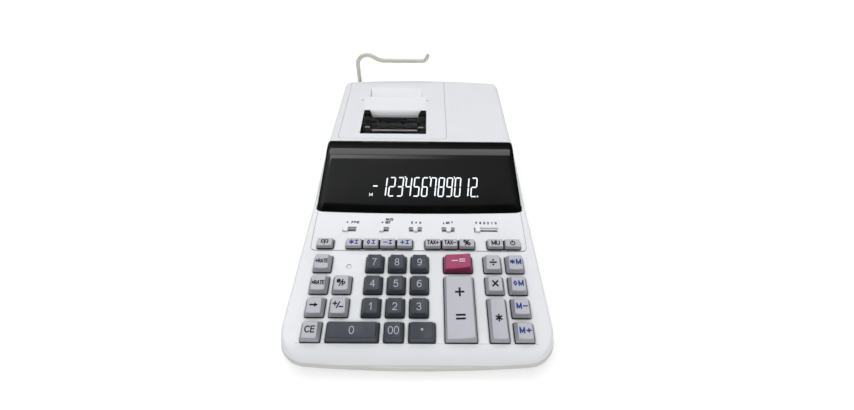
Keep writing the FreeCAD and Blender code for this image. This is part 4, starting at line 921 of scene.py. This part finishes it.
def split_runs(line):
    """Cut a line at its sharp corners."""
    runs, run = [], [line[0]]
    for i in range(1, len(line)):
        run.append(line[i])
        if i < len(line) - 1 and turn_at(line[i - 1], line[i], line[i + 1]) > SHARP_TURN:
            runs.append(run)
            run = [line[i]]
    return runs + [run]


def lengthened(run, share):
    """The same run with its two ends moved out."""
    out = list(run)
    for end, inner in ((0, 1), (-1, -2)):
        (x, y), (px, py) = run[end], run[inner]
        long = math.dist(run[end], run[inner])
        out[end] = (x + (x - px) / long * share, y + (y - py) / long * share)
    return out


def round_spot(shape, x, y, r):
    turns = [2 * math.pi * i / SPOT_SIDES for i in range(SPOT_SIDES)]
    shape.faces.new([shape.verts.new((x + r * math.cos(a), y + r * math.sin(a), 0)) for a in turns])


def strip(shape, pts, thick, closed):
    """A flat strip of even width along a gently bending line."""
    count = len(pts)
    sides = []
    for i, here in enumerate(pts):
        before = pts[i - 1] if closed or i else None
        after = pts[(i + 1) % count] if closed or i < count - 1 else None
        normals = []
        for a, b in ((before, here), (here, after)):
            if a is None or b is None or math.dist(a, b) < 1e-9:
                continue
            long = math.dist(a, b)
            normals.append(((a[1] - b[1]) / long, (b[0] - a[0]) / long))
        nx, ny = sum(n[0] for n in normals) / len(normals), sum(n[1] for n in normals) / len(normals)
        reach = thick / 2 / (nx * nx + ny * ny)
        sides.append((shape.verts.new((here[0] + nx * reach, here[1] + ny * reach, 0)),
                      shape.verts.new((here[0] - nx * reach, here[1] - ny * reach, 0))))
    for i in range(count if closed else count - 1):
        (a, b), (c, d) = sides[i], sides[(i + 1) % count]
        shape.faces.new((b, d, c, a))


def stroke_strip(shape, line, thick):
    """Ink along a line: a spot for a single point, a loop, or strips between sharp corners."""
    if len(line) == 1:
        round_spot(shape, *line[0], thick * SPOT_RADIUS)
        return
    line = [p for i, p in enumerate(line) if i == 0 or math.dist(p, line[i - 1]) > 1e-6]
    if math.dist(line[0], line[-1]) < 1e-6 and len(line) > 6:
        strip(shape, line[:-1], thick, True)
        return
    for run in split_runs(line):
        strip(shape, lengthened(run, thick * END_REACH), thick, False)


def written(text, size, bold, wide=1.0, spacing=0.17):
    """A flat sign: size is the height of a capital in millimetres, bold the stroke's share of it."""
    shape = bmesh.new()
    gap = spacing * size
    total = sum(STROKES[c][0] * size * wide + gap for c in text) - gap
    x = -total / 2
    for c in text:
        width, lines = STROKES[c]
        for line in lines:
            stroke_strip(shape, [(x + px * size * wide, (py - 0.5) * size) for px, py in line], bold * size)
        x += width * size * wide + gap
    return shape


def strokes(lines, thick):
    """A flat sign from lines given in millimetres."""
    shape = bmesh.new()
    for line in lines:
        stroke_strip(shape, line, thick)
    return shape


print("stroke helpers ready")

# %% [markdown]
# ## Printed signs
# Each sign is thin ink with a little thickness, sunk partly into the plastic under it, so
# that it stays a closed body. It is cut into narrow strips first, and every point is then
# set on the height of the surface below, which lets a flat letter follow the hollow of a
# key top.

# %% Print a sign on a surface
INK, SUNK = 0.04, 0.12      # how far the print stands off the plastic and goes into it, mm
STRIP = 0.8                 # width of the narrow strips, mm


def print_sign(name, shape, ink, body, x, v, height, place=on_keypad):
    """Lay a flat sign at (x, v) on a surface whose height is height(x, v)."""
    low = min(p.co.x for p in shape.verts)
    high = max(p.co.x for p in shape.verts)
    cuts = int((high - low) / STRIP)
    for i in range(1, cuts + 1):
        everything = list(shape.verts) + list(shape.edges) + list(shape.faces)
        bmesh.ops.bisect_plane(shape, geom=everything, plane_co=(low + i * (high - low) / (cuts + 1), 0, 0),
                               plane_no=(1, 0, 0))
    raised = bmesh.ops.extrude_face_region(shape, geom=list(shape.faces))
    tops = {p for p in raised["geom"] if isinstance(p, bmesh.types.BMVert)}
    for p in shape.verts:
        px, pv = x + p.co.x, v + p.co.y
        off = INK if p in tops else -SUNK
        p.co = place(px, pv, height(px, pv) + off)
    bmesh.ops.recalc_face_normals(shape, faces=shape.faces)
    mesh = bpy.data.meshes.new(name)
    shape.to_mesh(mesh)
    shape.free()
    mesh.materials.append(finish[ink])
    made = bpy.data.objects.new(name, mesh)
    scene.collection.objects.link(made)
    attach(made, body)
    return made


def key_sign(label, ink, shape, up=0.0):
    """A sign in the middle of a key's top, or a little up the key."""
    key = caps[label]
    v = key[1] + LEAN_FRONT + (key[3] - LEAN_FRONT - LEAN_REAR) / 2 + up
    print_sign("sign_" + label, shape, ink, "key_" + label + "_body", key[0], v,
               lambda px, pv: top_height(px, pv, key))


DIGIT_SIGN = (5.4, "ink_pale", 0.115, 1.08)
BLUE_SPACING, SPACING = 0.4, 0.17
# label: text, size, ink, boldness, width, and how far up the key
KEY_SIGNS = {
    "0": ("0", *DIGIT_SIGN, -0.4), "00": ("00", *DIGIT_SIGN, -0.4),
    "clear": ("CE", 4.3, "ink_black", 0.22, 1.2, 0.1),
    "rate_divide": ("dRATE", 2.8, "ink_black", 0.28, 0.93, -0.1),
    "rate_times": ("xRATE", 2.8, "ink_black", 0.28, 0.93, -0.3),
    "times": ("x", 7.4, "ink_black", 0.185, 1.0, -0.1), "divide": ("d", 6.2, "ink_black", 0.22, 1.25, -0.4),
    "total": ("*", 6.2, "ink_black", 0.2, 1.0, 0.0),
}
for label, text in (("plus", "M+"), ("minus", "M-"), ("subtotal", "oM"), ("total", "*M")):
    KEY_SIGNS["memory_" + label] = (text, 3.8, "ink_blue", 0.28, 1.3, 0.0)
for digit_name in "123456789":
    KEY_SIGNS[digit_name] = (digit_name, *DIGIT_SIGN, -0.8)
for label, (text, size, ink, bold, wide, up) in KEY_SIGNS.items():
    key_sign(label, ink, written(text, size, bold, wide, BLUE_SPACING if ink == "ink_blue" else SPACING), up)
print(len(KEY_SIGNS), "signs on the large keys")


# %% [markdown]
# ## The display hood
# The hood is one glossy black moulding: a rolled foot, a flat face, a gently curved top and
# soft sides. A mirror shows every dent, so it is drawn as a smooth grid of points instead
# of the solid's flat facets. Its side view is a line of points. Toward the sides each point
# is moved in along its own normal, slowly at first and then tightly, which gives the edge
# its long bend and its crisp end. A solidify modifier then gives the skin its moulded wall.

# %% The hood's side view
HOOD_FOOT, HOOD_FOOT_R, HOOD_BOW = -37.4, 21.0, 2.7
HOOD_HALF, HOOD_FLARE = 97.65, 0.154
NARROW_FOOT, NARROW_FOLD, NARROW_REAR = 0.65, 1.6, 0.2
HOOD_BACK, HOOD_TURN = (38.6, 72.8), math.radians(42.0)
CREASE, TOP_RUN = 2.6, 25.6  # how far the fold is softened, and how long the curved top is
EDGE_FOOT, EDGE_FOLD, EDGE_REAR = 7.0, 7.0, 3.0
EDGE_LEAN, EDGE_TIP = math.radians(40.0), 0.6
HOOD_SIDE = 7.8             # how deep the sides reach
FLARE_FROM = 43.0           # the height at which the hood has its full width
FOOT_CLEAR, SKIN_CLEAR = 0.1, 0.06      # above the panel, mm
SLOW_SHARE, TOP_END = 0.7, 0.99         # of the edge's points, and of the curved top


def hood_half(z):
    return HOOD_HALF - HOOD_FLARE * (z - FLARE_FROM)


def hood_arc(share):
    """A point of the curved top, from the fold to the deck."""
    (y0, z0), (y1, z1) = FACE_TOP, HOOD_BACK
    chord = math.dist(FACE_TOP, HOOD_BACK)
    r = chord / 2 / math.sin(HOOD_TURN / 2)
    lean = math.atan2(z1 - z0, y1 - y0)
    a = lean + HOOD_TURN / 2
    cy, cz = y0 + r * math.sin(a), z0 - r * math.cos(a)
    at = a - HOOD_TURN * share
    return cy - r * math.sin(at), cz + r * math.cos(at)


def hood_profile(x):
    """The side view at x as (y, z) points from the foot to the deck; the foot bows forward."""
    wall = HOOD_FOOT + x * x * HOOD_BOW / HOOD_HALF ** 2
    corner_z = FACE_LOW[1] + (wall - FACE_LOW[0]) * math.tan(FACE_ANGLE)
    cy = wall + HOOD_FOOT_R
    cz = corner_z - HOOD_FOOT_R * math.tan((math.pi / 2 - FACE_ANGLE) / 2)
    end, start = math.pi / 2 - FACE_ANGLE, 0.0
    while cz + HOOD_FOOT_R * math.sin(start) < panel_height(cy - HOOD_FOOT_R * math.cos(start)) + FOOT_CLEAR:
        start += 0.002
    line = []
    for i in range(13):
        a = start + (end - start) * i / 12
        line.append((cy - HOOD_FOOT_R * math.cos(a), cz + HOOD_FOOT_R * math.sin(a)))
    (fy, fz), (ty, tz) = line[-1], FACE_TOP
    along_face = math.dist((fy, fz), (ty, tz))
    for i in range(1, 11):
        t = i / 10 * (1 - CREASE / along_face)
        line.append((fy + (ty - fy) * t, fz + (tz - fz) * t))
    soft = CREASE / TOP_RUN
    a, b = line[-1], hood_arc(soft)
    for i in range(1, 9):
        t = i / 8
        line.append(tuple((1 - t) ** 2 * p + 2 * t * (1 - t) * q + t * t * s
                          for p, q, s in zip(a, FACE_TOP, b)))
    for i in range(1, 17):
        line.append(hood_arc(soft + (TOP_END - soft) * i / 16))
    return line


print(len(hood_profile(0.0)), "points in the side view")


# %% The hood's skin
def edge_section(share, wide):
    """Depth, and distance from the side, along the edge: a slow bend, then a tight one."""
    tip = EDGE_TIP * (1 - math.sin(EDGE_LEAN))
    slow = (wide - tip) / math.sin(EDGE_LEAN)
    if share < SLOW_SHARE:
        a = EDGE_LEAN * share / SLOW_SHARE
        return slow * (1 - math.cos(a)), wide - slow * math.sin(a)
    a = EDGE_LEAN + (math.pi / 2 - EDGE_LEAN) * (share - SLOW_SHARE) / (1 - SLOW_SHARE)
    return (slow * (1 - math.cos(EDGE_LEAN)) + EDGE_TIP * (math.cos(EDGE_LEAN) - math.cos(a)),
            EDGE_TIP * (1 - math.sin(a)))


def edge_at(y):
    """How rounded the edge is at y, and how far it stands in from the case's side line."""
    if y < FACE_TOP[0]:
        share = max(0.0, (y - FACE_LOW[0]) / (FACE_TOP[0] - FACE_LOW[0]))
        return EDGE_FOOT + (EDGE_FOLD - EDGE_FOOT) * share, NARROW_FOOT + (NARROW_FOLD - NARROW_FOOT) * share
    share = (y - FACE_TOP[0]) / (HOOD_BACK[0] - FACE_TOP[0])
    return EDGE_FOLD + (EDGE_REAR - EDGE_FOLD) * share, NARROW_FOLD + (NARROW_REAR - NARROW_FOLD) * share


def hood_column(where):
    """Points of one column: where is a share of the flat width or of the edge."""
    kind, value = where
    side = 1.0 if value >= 0 else -1.0
    points = []
    for i in range(len(hood_profile(0.0))):
        x = 0.0
        for _ in range(3):
            line = hood_profile(x)
            y, z = line[i]
            before, after = line[max(i - 1, 0)], line[min(i + 1, len(line) - 1)]
            long = math.dist(before, after)
            ny, nz = (before[1] - after[1]) / long, (after[0] - before[0]) / long
            roll, narrow = edge_at(y)
            if kind == "flat":
                inset, out = 0.0, abs(value) * (hood_half(z) - narrow - roll)
            else:
                inset, short = edge_section(abs(value) if kind == "roll" else 1.0, roll)
                if kind == "wall":
                    inset = HOOD_SIDE
                out = hood_half(z - nz * inset) - narrow - short
            x = side * out
        y, z = y - ny * inset, z - nz * inset
        points.append((x, y, max(z, panel_height(y) + SKIN_CLEAR)))
    return points


ROLL_STEPS, FLAT_STEPS = 10, 28
columns = [("wall", -1.0)]
columns += [("roll", -i / ROLL_STEPS) for i in range(ROLL_STEPS, 0, -1)]
columns += [("flat", i / FLAT_STEPS * 2 - 1) for i in range(FLAT_STEPS + 1)]
columns += [("roll", i / ROLL_STEPS) for i in range(1, ROLL_STEPS + 1)]
columns += [("wall", 1.0)]
skin = [hood_column(c) for c in columns]
rows = len(skin[0])
points = [p for column in skin for p in column]
faces = []
for c in range(len(skin) - 1):
    for r in range(rows - 1):
        a = c * rows + r
        faces.append((a, a + rows, a + rows + 1, a + 1))
hood = piece("display_hood", points, faces, "bezel_black", "case", 60.0, in_room)
thick = hood.modifiers.new("moulded_wall", "SOLIDIFY")
thick.thickness = 0.7 * MM
thick.offset = -1.0
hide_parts("display_bezel")
print("hood", [round(c, 4) for c in hood.dimensions])

# %% [markdown]
# ## The display's digits
# The display shows twelve slim seven-segment digits that lean a little. Each segment is a
# six-sided bar, so a digit is just a list of which bars are lit. They glow softly, as lit
# segments do, and they are bright enough to stay white beside the lit white case.

# %% Lit segments
glow = plastic("segment_white", (0.82, 0.86, 0.88), 0.4, 0.01, worn=0.0, dusty=0.0)
glow_shader = glow.node_tree.nodes["Principled BSDF"]
glow_shader.inputs["Emission Color"].default_value = (0.86, 0.93, 1.0, 1)
glow_shader.inputs["Emission Strength"].default_value = 0.4
finish["segment_white"] = glow

DIGIT_W, DIGIT_H, STROKE, LEAN, BAR_GAP = 6.1, 19.4, 1.2, 0.09, 0.12
FIRST_X, DIGIT_PITCH, DIGIT_S = -38.0, 7.8, 13.9
LIT = {"0": "abcdef", "1": "bc", "2": "abged", "3": "abgcd", "4": "fgbc", "5": "afgcd",
       "6": "afgedc", "7": "fabc", "8": "abcdefg", "9": "gfabcd"}


def segment(shape, ax, ay, bx, by, x0=0.0):
    """A bar with pointed ends from a to b."""
    dx, dy = bx - ax, by - ay
    long = math.hypot(dx, dy)
    ux, uy = dx / long, dy / long
    half = STROKE / 2
    ax, ay, bx, by = ax + ux * BAR_GAP, ay + uy * BAR_GAP, bx - ux * BAR_GAP, by - uy * BAR_GAP
    corners = [(ax, ay), (ax + (ux + uy) * half, ay + (uy - ux) * half),
               (bx - (ux - uy) * half, by - (uy + ux) * half), (bx, by),
               (bx - (ux + uy) * half, by - (uy - ux) * half),
               (ax + (ux - uy) * half, ay + (uy + ux) * half)]
    shape.faces.new([shape.verts.new((x0 + x + LEAN * y, y, 0)) for x, y in corners])


def digit(shape, sign, x0):
    half = STROKE / 2
    low, mid, top = half, DIGIT_H / 2, DIGIT_H - half
    left, far = half, DIGIT_W - half
    bars = {"a": (left, top, far, top), "b": (far, mid, far, top), "c": (far, low, far, mid),
            "d": (left, low, far, low), "e": (left, low, left, mid), "f": (left, mid, left, top),
            "g": (left, mid, far, mid)}
    for name in LIT[sign]:
        segment(shape, *bars[name], x0=x0)


shape = bmesh.new()
for k, sign in enumerate("123456789012"):
    digit(shape, sign, FIRST_X + DIGIT_PITCH * k)
for k in (2, 5, 8):
    x = FIRST_X + DIGIT_PITCH * (k + 1) + 0.15
    tick = [(x, 19.9), (x + 0.9, 20.3), (x + 1.9, 18.2), (x + 1.3, 17.6)]
    shape.faces.new([shape.verts.new((tx, ty, 0)) for tx, ty in reversed(tick)])
dot_x = FIRST_X + DIGIT_PITCH * 12 - 1.5
for x0, x1, y0, y1 in ((dot_x, dot_x + 1.3, 0.1, 1.5), (-44.2, -40.0, 9.6, 10.9)):
    shape.faces.new([shape.verts.new((x, y, 0)) for x, y in ((x0, y0), (x1, y0), (x1, y1), (x0, y1))])
digits = print_sign("display_digits", shape, "segment_white", "case", 0.0, DIGIT_S, lambda x, s: 0.0, on_face)
print_sign("display_memory_mark", written("M", 3.0, 0.15, 1.35), "segment_white", "case", -45.9, 15.8,
           lambda x, s: 0.0, on_face)
print("digits on the face")

# %% [markdown]
# ## The reset plunger and the printer's rods
# A small white plunger stands in the round hole beside the sign-change key, just below the
# panel. Across the printer's opening runs a thin steel rod that guides the ribbon, and a
# short bright pin sticks up at each end of it. A lathe shape, a line turned round an axis,
# makes each of them with its small rounded edges.

# %% Turned parts
def turned(name, outline, place, material, body, steps=32):
    """A closed round part: outline is (radius, height) from its lower to its upper middle."""
    inner = [p for p in outline if p[0] > 0]
    points = [(r * math.cos(2 * math.pi * k / steps), r * math.sin(2 * math.pi * k / steps), h)
              for r, h in inner for k in range(steps)]
    faces = stack_faces(len(inner), steps)
    points.append((0.0, 0.0, inner[-1][1]))
    return piece(name, points, faces, material, body, 40.0, place)


RESET_SPOT = (-59.5, 63.5)
PLUNGER = [(1.78, -3.0), (1.78, -0.6), (1.7, -0.42), (1.5, -0.36), (0.6, -0.42), (0.2, -0.44)]
plunger = turned("reset_plunger", PLUNGER, lambda x, v, n: on_keypad(x + RESET_SPOT[0], v + RESET_SPOT[1], n),
                 "case_white", "case")
ROD_Y, ROD_Z, ROD_R = 70.6, 63.0, 1.27
PIN_Y, PIN_Z, PIN_R = 72.3, 66.0, 1.1
ROUNDED, END_SHARE = 0.3, 0.75          # length of a rounded end, mm, and its radius share
for name, x0, x1, y, z, r in (("ribbon_rod", -53.4, -3.6, ROD_Y, ROD_Z, ROD_R),
                              ("ribbon_pin_left", -60.8, -55.2, PIN_Y, PIN_Z, PIN_R),
                              ("ribbon_pin_right", -3.0, 3.0, PIN_Y, PIN_Z, PIN_R)):
    rod = turned(name, [(r * END_SHARE, x0), (r, x0 + ROUNDED), (r, x1 - ROUNDED), (r * END_SHARE, x1)],
                 lambda a, b, along: in_room(along, y + a, z + b), "rod_steel", "case", 24)
print("plunger, rod and pins turned")

# %% [markdown]
# ## Signs that are drawn, not written
# Some keys carry small figures: an arrow, a paper strip with an arrow through it, a power
# mark. The same strokes make them.

# %% Figures on the keys
arrow = strokes([[(-3.0, 0), (1.0, 0)]], 1.3)
arrow.faces.new([arrow.verts.new((x, y, 0)) for x, y in ((0.2, -1.8), (3.2, 0.0), (0.2, 1.8))])
key_sign("shift", "ink_black", arrow)
key_sign("sign", "ink_black", strokes([[(-3.9, 1.1), (-1.1, 1.1)], [(-2.5, -0.3), (-2.5, 2.5)],
                                       [(-1.1, -2.3), (1.0, 2.3)], [(0.9, -1.4), (3.9, -1.4)]], 1.0))
key_sign("print_date", "ink_black", strokes([
    [(-2.9, 0.1), (-2.7, 2.6)], [(-1.7, 0.1), (-1.5, 2.6)], [(-3.4, 0.9), (-1.0, 0.9)],
    [(-3.3, 1.9), (-0.9, 1.9)], [(-1.5, -2.5), (1.2, 2.6)],
    [(1.0, -2.5), (1.0, 0.7), (2.2, 0.7), (2.9, 0.2), (2.9, -0.7), (2.2, -1.1), (1.0, -1.1)]], 0.95), -0.3)
key_sign("point", "ink_pale", strokes([dot(0, 0.3)], 1.5))
key_sign("minus_equals", "ink_white", strokes([[(-5.2, 0.9), (-0.6, 0.9)], [(1.0, 1.7), (5.4, 1.7)],
                                              [(1.0, 0.0), (5.4, 0.0)]], 0.62), -0.6)
key_sign("plus_equals", "ink_black", strokes([
    [(-3.1, 11.2), (3.1, 11.2)], [(0, 8.1), (0, 14.3)],
    [(-3.1, -7.4), (3.1, -7.4)], [(-3.1, -10.3), (3.1, -10.3)]], 1.6))
print("figures on the large keys")


# %% Signs on the small keys
SIGN_UP, SMALL_BOLD, SLAB_BOLD = 0.3, 0.26, 0.98


def small_sign(label, ink, shape):
    key = small[label]
    print_sign("sign_" + label, shape, ink, "key_" + label + "_body", key[0], key[1] + key[3] / 2 + SIGN_UP,
               lambda x, v: FN_TOP)


def with_slab(first, size):
    """A sign followed by a serifed capital I, as the grand-total keys have."""
    shape = written(first, size, SLAB_BOLD / size)
    for p in shape.verts:
        p.co.x -= 1.9
    for line in ([(1.2, 1.6), (3.6, 1.6)], [(1.2, -1.6), (3.6, -1.6)], [(2.4, -1.5), (2.4, 1.5)]):
        stroke_strip(shape, line, 0.95)
    return shape


for label, first, size in (("grand_total", "*", 4.9), ("grand_subtotal", "o", 4.1), ("grand_minus", "-", 4.8),
                           ("grand_plus", "+", 4.9)):
    small_sign(label, "ink_blue", with_slab(first, size))
for label, text, size, wide in (("tax_plus", "TAX+", 3.5, 0.86), ("tax_minus", "TAX-", 3.5, 0.86),
                                ("percent", "%", 4.6, 1.3), ("markup", "MU", 3.7, 1.2)):
    small_sign(label, "ink_black", written(text, size, SMALL_BOLD, wide))
small_sign("power", "ink_black", strokes([arc(0, -0.2, 1.9, 1.8, 125, 415), [(0, 0.5), (0, 2.3)]], 0.95))
feed = strokes([[(-1.4, -0.7), (-2.8, -0.7), (-2.8, 1.7), (2.8, 1.7), (2.8, -0.7), (1.4, -0.7)],
                [(0, -2.2), (0, 0.4)]], 0.95)
feed.faces.new([feed.verts.new((x, y, 0)) for x, y in ((-1.5, 0.0), (1.5, 0.0), (0.0, 1.4))])
small_sign("feed", "ink_black", feed)
print("signs on the small keys")

# %% [markdown]
# ## Words beside the switches
# Each slide switch has its positions printed above it in very small capitals. They are
# ordinary switch words, as on any such machine.

# %% Switch words
LABEL_V, WORD_BOLD = 108.3, 0.35        # bold, so that a word holds at this size


def panel_sign(name, shape, x, dv=0.0):
    print_sign("words_" + name, shape, "ink_black", "case", x, LABEL_V + dv, lambda px, pv: 0.0)


def words(text, wide=1.0, spacing=0.2, size=2.0):
    return written(text, size, WORD_BOLD, wide, spacing)


def spot():
    return strokes([dot(0, 0)], 1.4)


panel_sign("print_off", spot(), -66.3)
panel_sign("print", words("P P.IC"), -58.8)
panel_sign("rate", words("RATE", 1.05), -27.6, 3.2)
panel_sign("rate_off", spot(), -34.0)
panel_sign("rate_set", words("SET", 1.05), -28.9)
panel_sign("constant_k", words("K"), -6.6)
panel_sign("constant_off", spot(), -2.9)
panel_sign("constant_a", words("A"), 0.9)
panel_sign("rounding", words("5/4", 0.8, 0.15, 1.8), 26.4)
for side in (-1, 1):
    tip = -side * 1.6
    mark = bmesh.new()
    mark.faces.new([mark.verts.new((x, y, 0)) for x, y in ((-0.7, -tip), (0.0, tip), (0.7, -tip))])
    panel_sign("rounding_" + ("up" if side < 0 else "down"), mark, 26.4 + side * 3.9)
for text, x in zip("F63210", (52.8, 56.5, 60.1, 63.6, 67.2, 70.8)):
    panel_sign("decimal_" + text, words(text), x)
print("switch words printed")

# %% [markdown]
# ## The paper arm
# The arm is one length of coated wire: a leg up from its eye in the back wall, a hump, and a
# bar that the paper roll hangs on, with its tip turned up. A curve with a round bevel would
# draw it too. Here rings of points are carried along the wire's middle line instead, because
# that also rounds both ends off.

# %% Bend the wire
ARM_Y, ARM_R = 170.0 + MIDDLE_SHIFT, 2.4


def arc_points(cx, cz, r, start, end, steps):
    turns = [start + (end - start) * i / steps for i in range(steps + 1)]
    return [(cx + r * math.cos(a), cz + r * math.sin(a)) for a in turns]


def wire_route():
    """The arm's middle line as (x, z) in millimetres, from the eye to the tip."""
    bend, hump, ease, tip, leg_x, pivot, leg_top, bar_z = 6.0, 12.5, 20.0, 6.0, -78.0, 50.0, 90.0, 95.7
    slope = math.radians(30.0)
    route = [(-59.5, pivot)] + arc_points(leg_x + bend, pivot + bend, bend, -math.pi / 2, -math.pi, 8)
    route += arc_points(leg_x + hump, leg_top, hump, math.pi, math.pi / 2 - slope, 16)
    x, z = route[-1]
    drop = z - bar_z - ease * (1 - math.cos(slope))
    x, z = x + drop / math.tan(slope), z - drop
    route += arc_points(x + ease * math.sin(slope), bar_z + ease, ease, -math.pi / 2 - slope, -math.pi / 2, 6)
    lift = math.radians(20.0)
    route += arc_points(0.6, bar_z + tip, tip, -math.pi / 2, -lift, 8)
    x, z = route[-1]
    route.append((x + 3.0 * math.sin(lift), z + 3.0 * math.cos(lift)))
    return route


def round_bar(name, line, radius, material, body, steps=24):
    """A closed round bar along points in metres, its ends domed."""
    points, faces = [], []
    side = None
    last = len(line) - 1
    for i, p in enumerate(line):
        along = (line[min(i + 1, last)] - line[max(i - 1, 0)]).normalized()
        if side is None:
            side = along.orthogonal().normalized()
        side = (side - along * side.dot(along)).normalized()
        up = along.cross(side)
        if i == 0:
            rings = [(-0.95, 0.3), (-0.7, 0.7), (-0.3, 0.94), (0.0, 1.0)]
        elif i == last:
            rings = [(0.0, 1.0), (0.3, 0.94), (0.7, 0.7), (0.95, 0.3)]
        else:
            rings = [(0.0, 1.0)]
        for shift, share in rings:
            for k in range(steps):
                a = 2 * math.pi * k / steps
                out = (side * math.cos(a) + up * math.sin(a)) * share
                points.append(p + (along * shift + out) * radius)
    count = len(points) // steps
    for i in range(count - 1):
        for k in range(steps):
            j = (k + 1) % steps
            faces.append((i * steps + k, i * steps + j, (i + 1) * steps + j, (i + 1) * steps + k))
    faces.append(tuple(reversed(range(steps))))
    faces.append(tuple((count - 1) * steps + k for k in range(steps)))
    return piece(name, points, faces, material, body, 60.0)


wire = round_bar("arm_wire", [Vector((x, ARM_Y, z)) * MM for x, z in wire_route()], ARM_R * MM,
                 "arm_beige", "arm")
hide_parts("paper_arm")
print("wire", [round(c, 3) for c in wire.dimensions])
